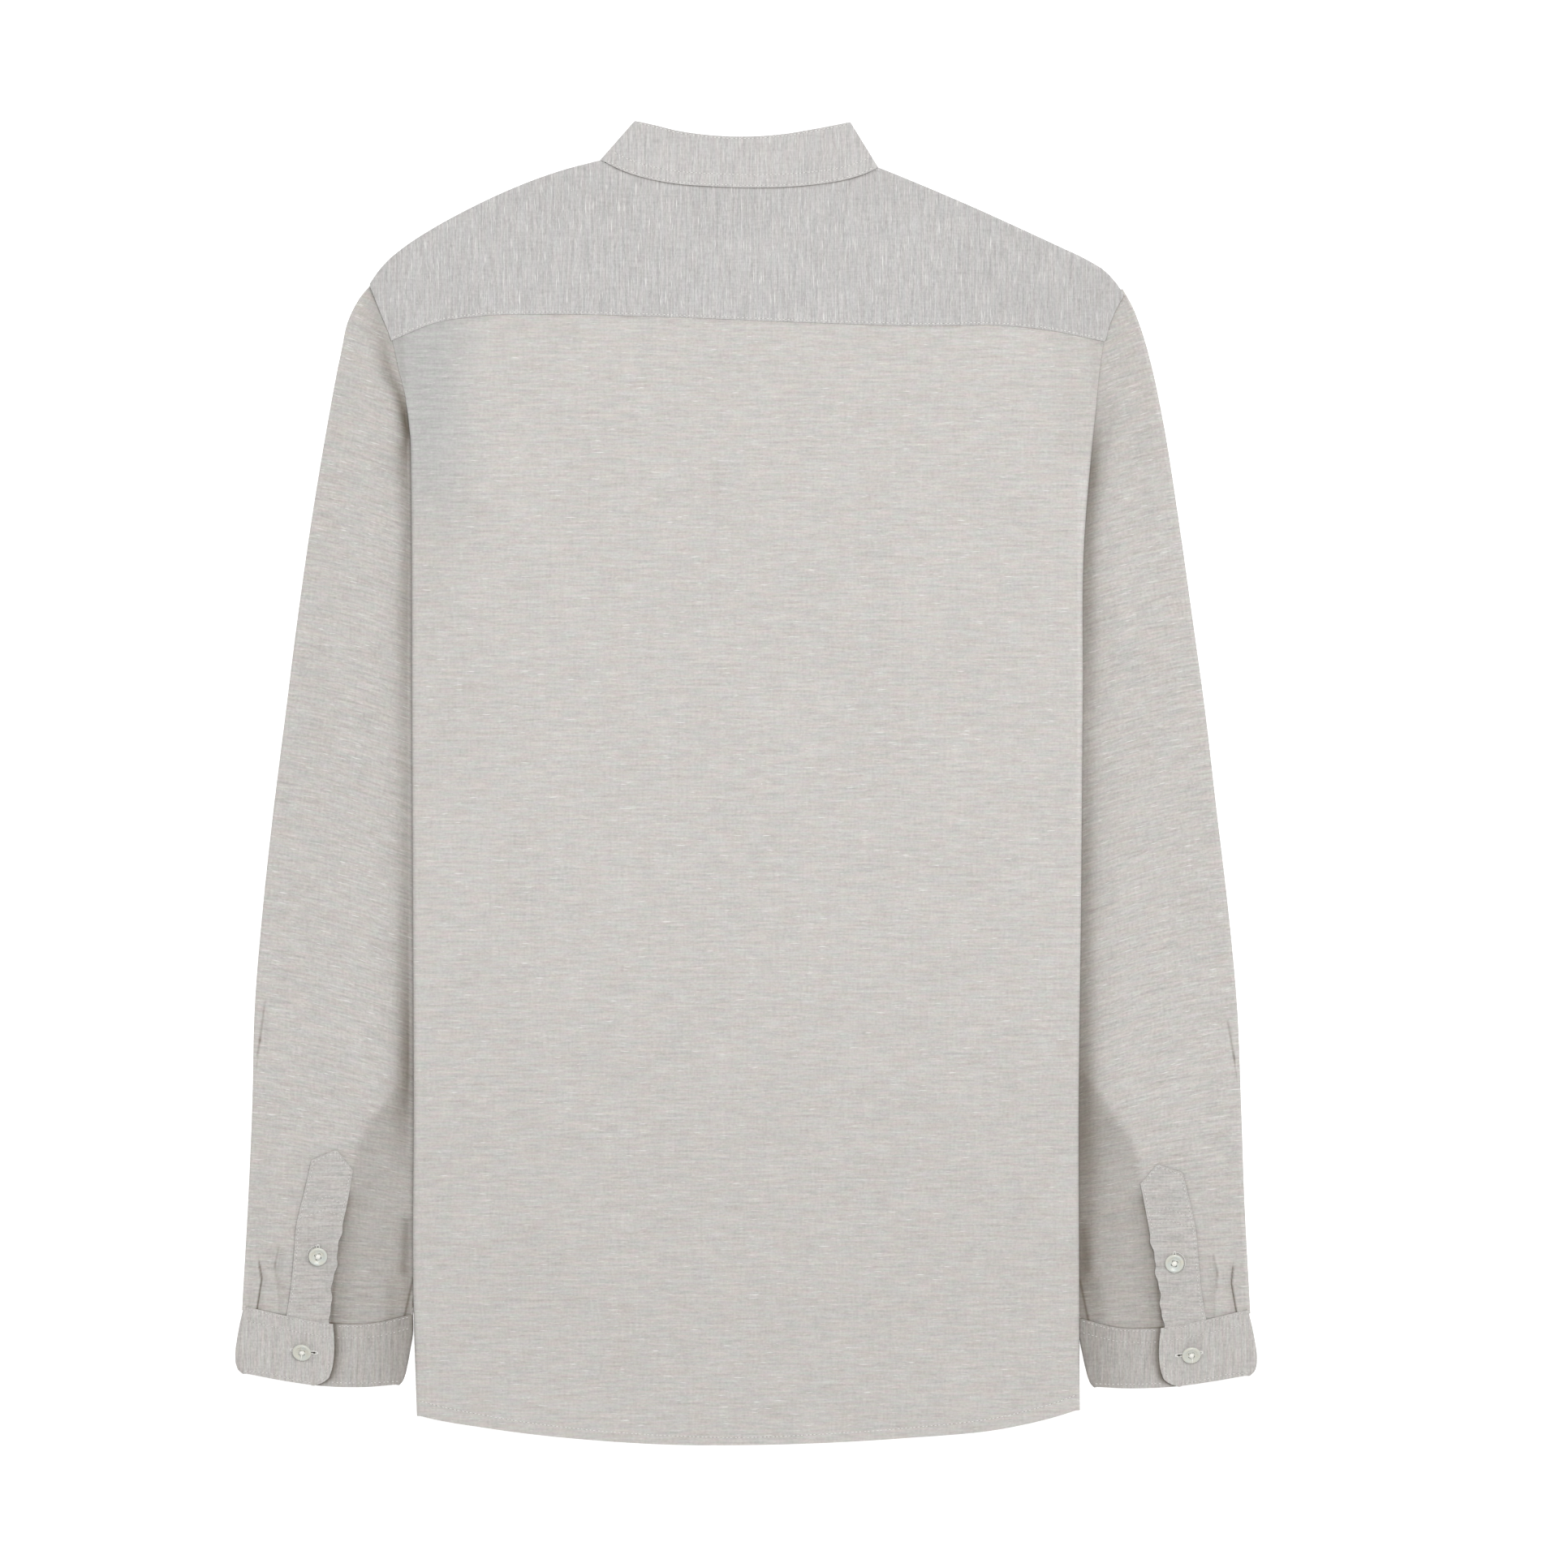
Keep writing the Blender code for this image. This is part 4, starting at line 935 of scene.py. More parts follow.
def yoke_top(u, v):
    """u from the left tip to the right one, v from the lower edge to the shoulders and the neck."""
    upper, lower = u * by_side(u, YOKE_TIP), u * by_side(u, YOKE_FOOT_TIP)
    starts = by_side(u, YOKE_NECK)
    fold = by_side(u, {side: fold_y(side, upper) for side in SIDES})
    on_neck = neck_seam(upper) + YOKE_UNDER_COLLAR * falling(np.abs(upper), starts, 12.0)
    head = np.where(np.abs(upper) < starts - 1e-6, on_neck, fold)
    y = mix(yoke_seam(lower), head, v)
    for side, way in SIDES.items():
        tip = mix(YOKE_FOOT_TIP[side], YOKE_TIP[side], v)
        tip_y = mix(yoke_seam(way * YOKE_FOOT_TIP[side]), fold_y(side, YOKE_TIP[side]), v)
        bulge = (body_side(side, tip_y) - tip) * 4 * v * (1 - v)
        side_bulge = way * bulge * np.clip(way * u, 0.0, 1.0) ** 8
        lower, upper = lower + side_bulge, upper + side_bulge
    beside_neck = step((np.abs(upper) - starts + YOKE_NECK_FADE) / YOKE_NECK_FADE)
    near_fold = step(1 - (head - y) / YOKE_FALL) * beside_neck
    x = mix(lower, upper, v)
    lift = LAP * (1 - rising(y - yoke_seam(x), 1.0, 7.0))
    lift = lift + YOKE_WAVE * ripple(x, y, (1.0, 44.0, 15.0, 1.0))
    z = mix(back_top(x, y), YOKE_FOLD_LEVEL, near_fold)
    beneath_collar = rising(y - neck_seam(x), -1.2, 1.6) * falling(np.abs(x), 86.0, 6.0)
    return x, y, z + lift * (1 - near_fold) - YOKE_BELOW_COLLAR * beneath_collar, y, x


def yoke_over(side):
    way = SIDES[side]
    neck, tip = YOKE_NECK[side], YOKE_TIP[side]

    def place(u, v):
        """u out along the shoulder; v round the fold to 1, then down the flap to 2."""
        out = u * tip
        angle = np.clip(v, 0.0, 1.0) * math.pi
        down = np.clip(v - 1, 0.0, 1.0)
        share = (out - neck) / (tip - neck)
        seam_out = mix(NECK_POINT[side] + 0.4, YOKE_SEAM_TIP[side], share)
        seam_y = shoulder(side, seam_out) - YOKE_FLAP
        x = way * mix(out, seam_out, down)
        folded = fold_y(side, out)
        y = mix(folded + YOKE_RADIUS * np.sin(angle), seam_y, down)
        along = folded + YOKE_RADIUS * angle + (folded - seam_y) * down
        return x, y, REST + YOKE_RADIUS + YOKE_RADIUS * np.cos(angle), along, x

    return place


def yoke_painted_shading(x, y):
    """Painted shade: a little darker by the neck, the shoulders and the right end, and a painted
    shadow below the collar.
    """
    plain = 1.0 - 0.02 * rising(y, 330, 40.0) - 0.02 * rising(np.abs(x), 190, 30.0)
    plain = plain - 0.03 * rising(x, 115, 40.0)
    # The painted shadow just below the collar's edge.
    below = neck_seam(x) - y
    deep = 0.5 - 0.16 * np.exp(-(((x + 4.0) / 26.0) ** 2))
    inside = rising(x, -86.0, 10.0) * falling(x, 78.0, 10.0)
    return plain * (1 - deep * inside * np.exp(-((np.maximum(below, 0.0) / 0.85) ** 2)))


COLLAR_FOLD_LEVEL = 4.6
COLLAR_RADIUS = (COLLAR_FOLD_LEVEL - BAND_REST) / 2
COLLAR_INSET = COLLAR_RADIUS + BAND_EDGE
COLLAR_ENDS = {"left": 2.9, "right": 4.4}
# How far the side turns' ends slide up along the sides to meet the lower and the upper edge.
COLLAR_SLIDE = {"left": (0.7, 1.45), "right": (0.2, 1.0)}
NECK_ENDS = NECK_SEAM["x"][0], NECK_SEAM["x"][-1]
EDGE_ENDS = COLLAR_EDGE["x"][0], COLLAR_EDGE["x"][-1]


def collar_half(t, v):
    at_neck, at_edge = mix(*NECK_ENDS, t), mix(*EDGE_ENDS, t)
    neck_y = neck_seam(at_neck)
    edge_y = smooth(COLLAR_EDGE, "y", at_edge)
    return np.stack(np.broadcast_arrays(mix(at_neck, at_edge, v), mix(neck_y, edge_y, v)))


def collar_turn_line(side, v, slide=1.0):
    """The points where the turn at one side has its middle, and the way outwards."""
    t = {"left": 0.0, "right": 1.0}[side]
    foot, head = collar_half(t, 0.0), collar_half(t, 1.0)
    run = (head - foot) / np.linalg.norm(head - foot)
    outwards = SIDES[side] * np.array([run[1], -run[0]])
    along = mix(*COLLAR_SLIDE[side], v) * slide
    line = np.stack([mix(foot[axis], head[axis], v) + run[axis] * along for axis in (0, 1)])
    outwards = outwards.reshape((2,) + (1,) * (line.ndim - 1))
    return line - outwards * COLLAR_INSET, outwards


def collar_back(t, v):
    length = mix(NECK_ENDS[1] - NECK_ENDS[0], EDGE_ENDS[1] - EDGE_ENDS[0], v)
    share = mix(COLLAR_INSET / length, 1 - COLLAR_INSET / length, t)
    xy = collar_half(share, v)
    ends = (("left", t, COLLAR_INSET / length), ("right", 1 - t, 1 - COLLAR_INSET / length))
    for side, near, end in ends:
        pull = np.clip(1 - near / 0.12, 0.0, 1.0)
        xy = xy + pull * (collar_turn_line(side, v)[0] - collar_half(end, v))
    inner = np.sin(np.pi * np.clip(t, 0.0, 1.0))
    rise = inner * mix(1.3, 0.3, v) + LAP * (1 - step(v / 0.45))
    return xy[0], xy[1], COLLAR_FOLD_LEVEL + rise, xy[1], xy[0]


def collar_turn(side):
    def place(u, v):
        """u from 0 on the back half to 1 on the front half."""
        angle = np.clip(u, 0.0, 1.0) * math.pi
        line, outwards = collar_turn_line(side, v + 0.0 * u, 1 - np.sin(angle))
        x, y = line + outwards * COLLAR_RADIUS * np.sin(angle)
        rise = LAP * (1 - step(v / 0.45)) * (1 + np.cos(angle)) / 2
        z = BAND_REST + COLLAR_RADIUS + COLLAR_RADIUS * np.cos(angle) + rise
        return x, y, z, y, x

    return place


def collar_front(side):
    way = SIDES[side]

    def place(share, v):
        neck = straight(FRONT_NECK, side, share)
        edge = smooth(FRONT_COLLAR_EDGE, "out", share)
        edge_y = smooth(FRONT_COLLAR_EDGE, "y", share)
        out, y = mix(neck, edge, v), mix(front_neck(side, neck), edge_y, v)
        start_out = mix(FRONT_NECK[side][0], FRONT_COLLAR_EDGE["out"][0], v)
        start_y = mix(FRONT_NECK[side + "_y"][0], FRONT_COLLAR_EDGE["y"][0], v)
        turn_x, turn_y = collar_turn_line(side, v)[0]
        pull = np.clip(1 - share / 0.2, 0.0, 1.0)
        x = way * out + pull * (turn_x - way * start_out)
        z = mix(BAND_REST, COLLAR_ENDS[side], falling(out, 46.0, 28.0))
        y = y + pull * (turn_y - start_y)
        return x, y, z, 31.0 * v, way * 130.0 * share

    return place


def sleeve_level(side, x, y):
    """Level of a sleeve's upper ply: pressed flat under the body, rising beside it."""
    out = np.abs(x)
    edge = REST + 2 * sleeve_roll(y)
    beside = out - body_side(side, y)
    width = sleeve_side(side, y) - body_side(side, y) - 2 * sleeve_roll(y)
    rise = step((beside - 2.0) / np.clip(0.8 * width, 3.0, SLEEVE_BULGE))
    way = SIDES[side]
    waves = ripple(
        out,
        y,
        (0.22, 74.0, 72.0, 1.3 + way),
        (0.14, 46.0, 112.0, 3.0 - way),
        (0.1, 31.0, 60.0, 0.6 + 2 * way),
    )
    free = step(beside / 8.0) * step((sleeve_side(side, y) - out) / 12.0)
    at_seam = rising(y, 214.0, 22.0) * falling(y, 300.0, 15.0)
    outside = rising(beside, 0.1, 1.3)
    lifted = 0.45 * rising(beside, -7.0, 7.0) + (0.75 + 0.8 * rising(y, 262.0, 10.0)) * outside
    plain = mix(REST + PLY + at_seam * lifted, edge, rise)
    return plain + (raised_folds(side, x, y) + waves) * free


def beside_lines(lines, side, x, y):
    """For each of a side's lines: its row, how far a point is past its ends, and beside it."""
    out = np.abs(x)
    for row in np.flatnonzero(lines["side"] == SIDES[side]):
        line = {name: values[row] for name, values in lines.items()}
        run_x, run_y = line["x1"] - line["x0"], line["y1"] - line["y0"]
        length = math.hypot(run_x, run_y)
        along = ((out - line["x0"]) * run_x + (y - line["y0"]) * run_y) / length
        across = ((out - line["x0"]) * run_y - (y - line["y0"]) * run_x) / length
        yield line, np.maximum(-along, along - length), across


def raised_folds(side, x, y):
    """Height of the creases in a sleeve's upper ply."""
    total = 0.0
    for fold, past, across in beside_lines(SLEEVE_FOLDS, side, x, y):
        ends = step(1.0 - past / fold["width"])
        total = total + fold["height"] * ends * np.exp(-((2 * across / fold["width"]) ** 2))
    return total


def pleats(side, x, y):
    """Height and shade of the pleats: a slow rise from the outer side, then a drop."""
    height, shade = 0.0, 0.0
    for pleat in PLEATS[side]:
        beside = np.abs(x) - np.interp(y, pleat["y"], pleat["out"])
        ends = step((pleat["y"][-1] - y) / 5.0)
        rise = step(1 - beside / PLEAT_REACH) * step(1 + beside / PLEAT_DROP)
        height = height + pleat["height"] * ends * rise
        shade = shade + pleat["shade"] * ends * np.exp(-(((beside + PLEAT_DROP) / 0.55) ** 2))
        shade = shade + 0.12 * ends * step(1 + beside / 7.0) * (beside < -PLEAT_DROP)
    return height, shade


# Painted shade in the hollow between the body and the placket and along the cuff's top edge, and
# the most that the lines of painted shade may take away.
HOLLOW_SHADE = 0.19
CUFF_EDGE_SHADE = 0.34
DEEPEST_LINE_SHADE = 0.8
CREASE_END = 4.0  # length over which a crease fades past its ends


class Sleeve:
    """The surfaces of one pressed sleeve, from its cuff at v = 0 to the armhole at v = 1."""

    def __init__(self, side):
        self.side, self.way = side, SIDES[side]
        self.top_y = SLEEVE_TOP[side]
        self.foot_y = CUFF_TOP[side + "_y"][0] - WRIST_TUCK
        foot = (CUFF_TOP[side + "_x"][-1] - 0.3, CUFF_TOP[side + "_y"][-1] - WRIST_TUCK)
        self.inner_foot = np.array(foot)
        self.inner_run = np.array(UNDERARM) - self.inner_foot
        run = self.inner_run / np.linalg.norm(self.inner_run)
        self.inner_way = np.array([-run[1], run[0]])

    def outer_line(self, v):
        y = mix(self.foot_y, self.top_y, v)
        return np.stack([sleeve_side(self.side, y), y])

    def inset_outer(self, v):
        """Where the outer roll's middle is, the way outwards and the roll's radius."""
        run = self.outer_line(v + 1e-3) - self.outer_line(v - 1e-3)
        run = run / np.linalg.norm(run, axis=0)
        outwards = np.stack([run[1], -run[0]])
        radius = sleeve_roll(mix(self.foot_y, self.top_y, v))
        return self.outer_line(v) - outwards * (radius + CLOTH / 2), outwards, radius

    def inset_inner(self, v):
        line = self.inner_foot[:, None, None] + self.inner_run[:, None, None] * v
        return line - self.inner_way[:, None, None] * (SLEEVE_LAY + CLOTH / 2)

    def mouth(self, share, tuck):
        y = np.interp(share, MOUTH["share"], [self.top_y, *MOUTH["y"][1:]])
        under = straight(REACH, "x", y)
        x = mix(under, body_side(self.side, y) + 0.4, rising(y, MOUTH_UNDER, 24.0))
        return np.stack([x - tuck * step(share / 0.05) * rising(y, UNDERARM[1], 60.0), y])

    def wrist(self, share):
        x, y = (smooth(CUFF_TOP, self.side + axis, share) for axis in ("_x", "_y"))
        return np.stack([x, y - WRIST_TUCK])

    def flat(self, share, v, tuck=0.0):
        """x and y in the pressed tube, by the shares across from its outer edge and upwards."""
        ends = mix(self.wrist(share), self.mouth(share, tuck), v)
        nought = 0.0 * v
        outer = self.inset_outer(v)[0] - mix(self.wrist(nought), self.mouth(nought, tuck), v)
        inner = self.inset_inner(v) - mix(self.wrist(nought + 1), self.mouth(nought + 1, tuck), v)
        return ends + (1 - share) * outer + share * inner

    def body_share(self, v):
        """Share across at which the sleeve runs in under the body."""
        low, high = 0.0 * v, 0.0 * v + 1
        for _ in range(26):
            middle = (low + high) / 2
            x, y = self.flat(middle, v, SLEEVE_TUCK)
            beside = x > body_side(self.side, y) + 2.0
            low, high = np.where(beside, middle, low), np.where(beside, high, middle)
        return np.clip(low, MOUTH["share"][2], 0.97)

    def cloth(self, x, y):
        """The weft runs square to the outer edge, then bends down towards the body."""
        inward = sleeve_side(self.side, y) - np.abs(x)
        slope = straight(WEFT_SLOPE, "slope", y)
        fall = slope * (0.5 * inward + np.clip(inward, 0.0, 100.0) ** 2 / 200.0)
        return self.way * inward, y + fall

    def upper(self, u, v):
        """u from the outer edge to the body's side at 1, then under the body to 2."""
        at_body = self.body_share(v)
        share = at_body * np.minimum(u, 1.0) + (1 - at_body) * np.maximum(u - 1, 0.0)
        x, y = self.flat(share, v, SLEEVE_TUCK)
        z = sleeve_level(self.side, x, y) + pleats(self.side, x, y)[0]
        edge = REST + 2 * sleeve_roll(mix(self.foot_y, self.top_y, v))
        z = mix(edge, z, step(share / 0.03))
        z = mix(z, REST + PLY, rising(share, 0.97, 0.03))
        return (self.way * x, y, z, *self.cloth(x, y))

    def lower(self, u, v):
        x, y = self.flat(u, v)
        return (self.way * x, y, REST, *self.cloth(x, y))

    def outer_turn(self, u, v):
        centre, outwards, radius = self.inset_outer(v)
        angle = np.clip(u, 0.0, 1.0) * math.pi
        x, y = centre + outwards * radius * np.sin(angle)
        s, t = self.cloth(x, y)
        return self.way * x, y, REST + radius - radius * np.cos(angle), s, t

    def inner_turn(self, u, v):
        angle = np.clip(u, 0.0, 1.0) * math.pi
        x, y = self.inset_inner(v) + self.inner_way[:, None, None] * SLEEVE_LAY * np.sin(angle)
        s, t = self.cloth(x, y)
        return self.way * x, y, REST + SLEEVE_LAY - SLEEVE_LAY * np.cos(angle), s, t

    def up(self, y):
        return (y - self.foot_y) / (self.top_y - self.foot_y)

    def tone(self, x, y):
        """Painted shade in the sleeve beside the body, between the body and the placket, and along
        its edges and creases.
        """
        out = np.abs(x)
        beside = out - body_side(self.side, y)
        width = straight(SLEEVE_SHADE, self.side + "_width", y)
        near = straight(SHADE_FADE, self.side, np.maximum(beside, 0.0) / width)
        if self.side == "left":
            across = np.abs(beside - straight(LEFT_VALLEY_SHADE, "out", y))
            valley_shade = np.exp(-((across / straight(LEFT_VALLEY_SHADE, "width", y)) ** 1.7))
            near = mix(near, valley_shade, rising(y, 199.0, 14.0))
        near = straight(SLEEVE_SHADE, self.side, y) * near
        hollow = HOLLOW_SHADE * step((straight(SLEEVE_HOLLOW, "out", y) + 2.0 - out) / 7.0)
        beside_placket = gauntlet_inner(self.side, y) - out
        placket = straight(PLACKET_SHADE, "share", beside_placket) * falling(y, -244.0, 8.0)
        placket = placket * (1 + 0.45 * falling(y, -296.0, 12.0))
        above_cuff = y - cuff_top(self.side, out)
        at_cuff = rising(above_cuff, -0.6, 0.6) * (1 - rising(above_cuff, 0.2, 1.1))
        # Painted shade of the pleats, beside the placket's edge and along the cuff's top edge; the
        # crease lines below add theirs.
        creases = pleats(self.side, x, y)[1] + placket + CUFF_EDGE_SHADE * at_cuff
        for crease, past, across in beside_lines(SLEEVE_CREASE_SHADES, self.side, x, y):
            ends = step(1 - past / CREASE_END)
            creases = creases + crease["shade"] * ends * np.exp(-((across / crease["width"]) ** 2))
        hollow = hollow * falling(y, -160, 20.0)
        # The sleeves' painted shade along their length.
        own = straight(SLEEVE_PAINTED_SHADE, "tone", y)
        return own * (1 - near) * (1 - hollow) * (1 - np.minimum(creases, DEEPEST_LINE_SHADE))


class Cuff:
    """The surfaces of one pressed cuff, from its under end round beneath and over to its lap."""

    def __init__(self, side):
        self.side, self.way = side, SIDES[side]
        self.outer_radius = (CUFF_LEVELS["lap"] - CUFF_LEVELS["low"]) / 2
        self.inner_radius = (CUFF_LEVELS["under"] - CUFF_LEVELS["low"]) / 2

    def outline(self, share, h):
        foot_x, foot_y = (smooth(CUFF_FOOT, self.side + axis, share) for axis in ("_x", "_y"))
        top_x, top_y = (smooth(CUFF_TOP, self.side + axis, share) for axis in ("_x", "_y"))
        outer = smooth(CUFF_SIDES, "outer", h) * (1 - share) ** 4
        inner = smooth(CUFF_SIDES, "inner", h) * share**4
        x = mix(foot_x, top_x, h) + outer + inner
        return np.stack(np.broadcast_arrays(x, mix(foot_y, top_y, h)))

    def ends(self, h):
        """The two sides moved in to the turns' middles, and the way from the outer one in."""
        first, last = self.outline(0.0 * h, h), self.outline(0.0 * h + 1, h)
        run = (last - first) / np.linalg.norm(last - first, axis=0)
        outer, inner = self.outer_radius + BAND_EDGE, self.inner_radius + BAND_EDGE
        return first + run * outer, last - run * inner, run

    def ply(self, share, h):
        first, last, _ = self.ends(h)
        out_gap, in_gap = first - self.outline(0.0 * h, h), last - self.outline(0.0 * h + 1, h)
        return self.outline(share, h) + (1 - share) * out_gap + share * in_gap

    def flat(self, key):
        def place(u, v):
            lap_end = smooth(CUFF_LAP_EDGE, "share", v) if key == "lap" else 1.0
            x, y = self.ply(u * lap_end, v)
            z = CUFF_LEVELS[key] + 0.0 * x
            if key == "lap":
                z = z + 0.25 * ripple(x, y, (1.0, 38.0, 12.0, 0.5)) * step(u / 0.1)
                z = z + rising(u, 0.94, 0.06) * (0.55 + 0.35 * np.sin(9.0 * v + 1.0))
            if key == "under":
                z = z + 0.35 * ripple(x, y, (0.6, 47.0, 20.0, 2.0)) * falling(u, 1, 0.1)
            return self.way * x, y, z, y, self.way * x

        return place

    def turn(self, inner):
        radius = self.inner_radius if inner else self.outer_radius

        def place(u, v):
            first, last, run = self.ends(v + 0.0 * u)
            angle = np.clip(u, 0.0, 1.0) * math.pi
            centre, outwards = (last, run) if inner else (first, -run)
            x, y = centre + outwards * radius * np.sin(angle)
            z = CUFF_LEVELS["low"] + radius - radius * np.cos(angle)
            return self.way * x, y, z, y, self.way * x

        return place

    def lap_painted_light(self, x, y):
        """Painted light: the left lap is drawn a little lighter, as it catches a little more light.
        """
        return 1.035 if self.side == "left" else 1.0

    def under_painted_shade(self, x, y):
        """Painted shade on the under end, most beside the lap and the body, with a painted shadow
        in the gap beside the body on the left.
        """
        h = np.linspace(0.0, 1.0, 60)
        edge_x, edge_y = self.ply(smooth(CUFF_LAP_EDGE, "share", h), h)
        lap = straight(LAP_SHADE, "share", np.interp(y, edge_y, edge_x) - np.abs(x))
        beside = np.abs(x) - body_side(self.side, y)
        gap_shadow = 0.6 * falling(beside, 1.8, 1.0) * rising(y, -334.0, 3.0) * (self.side == "left")
        near = straight(CUFF_SHADE, "share", beside)
        return 0.94 * (1 - lap) * (1 - near) * (1 - gap_shadow)


def gauntlet_inner(side, y):
    """Distance from x = 0 of the sleeve placket's edge towards the body."""
    foot = cuff_top(side, np.array(GAUNTLET[side + "_in"][0]))
    share = (y - foot) / (GAUNTLET_HEAD[side][0] - foot)
    return smooth(GAUNTLET, side + "_in", np.clip(share, 0.0, 1.0))


def gauntlet_place(side):
    way = SIDES[side]

    def place(u, v):
        """u out from the edge near the body, v up from the cuff to the point."""
        inner = smooth(GAUNTLET, side + "_in", v)
        outer = smooth(GAUNTLET, side + "_out", v)
        loose = 1 - rising(v, 0.66, 0.08)
        inner = inner + loose * (0.55 * np.sin(v * 27.0 + 0.7) + 0.3 * np.sin(v * 61.0))
        x = mix(inner, outer, u)
        head = straight(GAUNTLET_HEAD, side, u)
        y = mix(cuff_top(side, x) - 0.6, head, v)
        lift = 0.8 * loose * (1 - step(u / 0.3)) * (1.2 + np.sin(v * 27.0))
        creases = 0.16 * ripple(x, y, (1.0, 13.0, 78.0, 0.4), (0.8, 21.0, 98.0, 2.2))
        return way * x, y, sleeve_level(side, x, y) + PLY + 0.15 + lift + creases, way * x, y

    return place


# Sewing ------------------------------------------------------------------------------------------


def surface_point(place, u, v):
    return np.stack(np.broadcast_arrays(*place(u, v)[:3]), -1)


def surface_steps(place, u, v):
    """How far the surface moves in mm for u and for v, and its normal."""
    h = 1e-4
    along_u = (surface_point(place, u + h, v) - surface_point(place, u - h, v)) / (2 * h)
    along_v = (surface_point(place, u, v + h) - surface_point(place, u, v - h)) / (2 * h)
    normal = np.cross(along_u, along_v)
    normal = normal / np.maximum(np.linalg.norm(normal, axis=-1, keepdims=True), 1e-12)
    return along_u, along_v, normal


def beside_edge(place, fixed, at, inset, start, stop, count=160):
    """u and v along a line that keeps its distance from an edge, where fixed ("u" or "v") is at."""
    run = np.linspace(start, stop, count)[None, :]
    edge = np.full_like(run, at)
    u, v = (edge, run) if fixed == "u" else (run, edge)
    along_u, along_v, _ = surface_steps(place, u, v)
    scale = np.linalg.norm((along_u if fixed == "u" else along_v)[..., :2], axis=-1)
    edge = edge + inset / np.maximum(scale, 1e-9)
    return (edge, run) if fixed == "u" else (run, edge)


UP = np.array([0.0, 0.0, 1.0])
THREAD_HEIGHT = 0.34  # half a stitch's height, against its width
# The needle's pricks are painted shadow: small dark drops between the stitches.
PRICK_SHADOW = (0.27, 0.2, 0.04)  # half of a needle prick's length, width and depth
WOBBLE = 0.12  # how uneven a row's stitches are in place and length


class Thread:
    """Stitches in the making: each is kept as its place until all of them are made together."""

    def __init__(self):
        self.places = []
        self.pricks = []

    def stitch(self, centre, along, normal, length, width):
        """One stitch: a short drop of thread pressed into the cloth."""
        side = np.cross(normal, along)
        rise = normal * width * THREAD_HEIGHT
        self.places.append((along * length / 2, side * width / 2, rise, centre))

    def sew(self, place, line, wall, facing, pitch, length, width):
        """A row of stitches along a line of u and v, on the upper side (facing 1) or below (-1)."""
        u, v = line
        points = surface_point(place, u, v)[0]
        far = np.concatenate([[0.0], np.cumsum(np.linalg.norm(np.diff(points, axis=0), axis=1))])
        count = max(int(far[-1] / pitch), 1)
        wobble = np.sin(np.arange(count) * 2.3) * WOBBLE * pitch
        at = (np.arange(count) + 0.5) * far[-1] / count + wobble
        us, vs = np.interp(at, far, u[0])[None, :], np.interp(at, far, v[0])[None, :]
        centres = surface_point(place, us, vs)[0]
        normals = surface_steps(place, us, vs)[2][0]
        normals = normals * np.sign(normals[:, 2:3] + 1e-9) * facing
        ahead = np.stack([np.interp(at + 0.3, far, points[:, axis]) for axis in range(3)], -1)
        behind = np.stack([np.interp(at - 0.3, far, points[:, axis]) for axis in range(3)], -1)
        alongs = ahead - behind
        for number, (centre, along, normal) in enumerate(zip(centres, alongs, normals)):
            along = along - normal * np.dot(along, normal)
            along = along / max(np.linalg.norm(along), 1e-9)
            own = length * (1 + WOBBLE * math.sin(number * 5.1))
            self.stitch(centre + normal * (wall / 2 + 0.03), along, normal, own, width)
            side = np.cross(normal, along)
            prick = centre + along * pitch / 2 + normal * wall / 2
            self.pricks.append((along * PRICK_SHADOW[0], side * PRICK_SHADOW[1], normal * PRICK_SHADOW[2], prick))

    def follow(self, place, edge, wall, facing, gauge):
        """A row of stitches beside an edge, which is given as for beside_edge."""
        self.sew(place, beside_edge(place, *edge), wall, facing, *gauge)

    def bar(self, centre, along, normal, length, width, count):
        """A close row of stitches across a short line, as at a buttonhole's side or its end."""
        across = np.cross(normal, along)
        for number in range(count):
            at = centre + along * length * ((number + 0.5) / count - 0.5)
            own = width * (1 + 0.15 * math.sin(number * 4.3))
            self.stitch(at, across, normal, own, 1.25 * length / count)

    def finish(self, name, material, prick_shadow_material=None):
        """The stitches as one mesh, and the painted shadows of the needle's pricks between them as
        another.
        """
        if prick_shadow_material and self.pricks:
            self.join(name + "_pricks", prick_shadow_material, self.pricks)
        return self.join(name, material, self.places)

    def join(self, name, material, places):
        """The same small drop at each place."""
        bm = bmesh.new()
        bmesh.ops.create_uvsphere(bm, u_segments=6, v_segments=4, radius=1.0)
        drop = np.array([(*vert.co, 1.0) for vert in bm.verts])
        faces = [[vert.index for vert in face.verts] for face in bm.faces]
        bm.free()
        points = np.einsum("vk,pkx->pvx", drop, np.array(places)).reshape(-1, 3) * MM
        mesh = bpy.data.meshes.new(name)
        copies = range(0, len(points), len(drop))
        joined = [[first + index for index in face] for first in copies for face in faces]
        mesh.from_pydata(points, [], joined)
        mesh.materials.append(material)
        mesh.shade_smooth()
        piece = bpy.data.objects.new(name, mesh)
        bpy.context.scene.collection.objects.link(piece)
        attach(piece, "root")
        return piece


# Materials ---------------------------------------------------------------------------------------


class Value:
    """A socket's number or colour, on which Python's operators add the nodes they stand for."""

    def __init__(self, shader, socket):
        self.shader, self.socket = shader, socket

    def maths(self, operation, *values):
        return self.shader.node("ShaderNodeMath", {"operation": operation}, dict(enumerate(values)))

    def __add__(self, other):
        return self.maths("ADD", self, other)

    def __sub__(self, other):
        return self.maths("SUBTRACT", self, other)

    def __mul__(self, other):
        return self.maths("MULTIPLY", self, other)

    def __truediv__(self, other):
        return self.maths("DIVIDE", self, other)


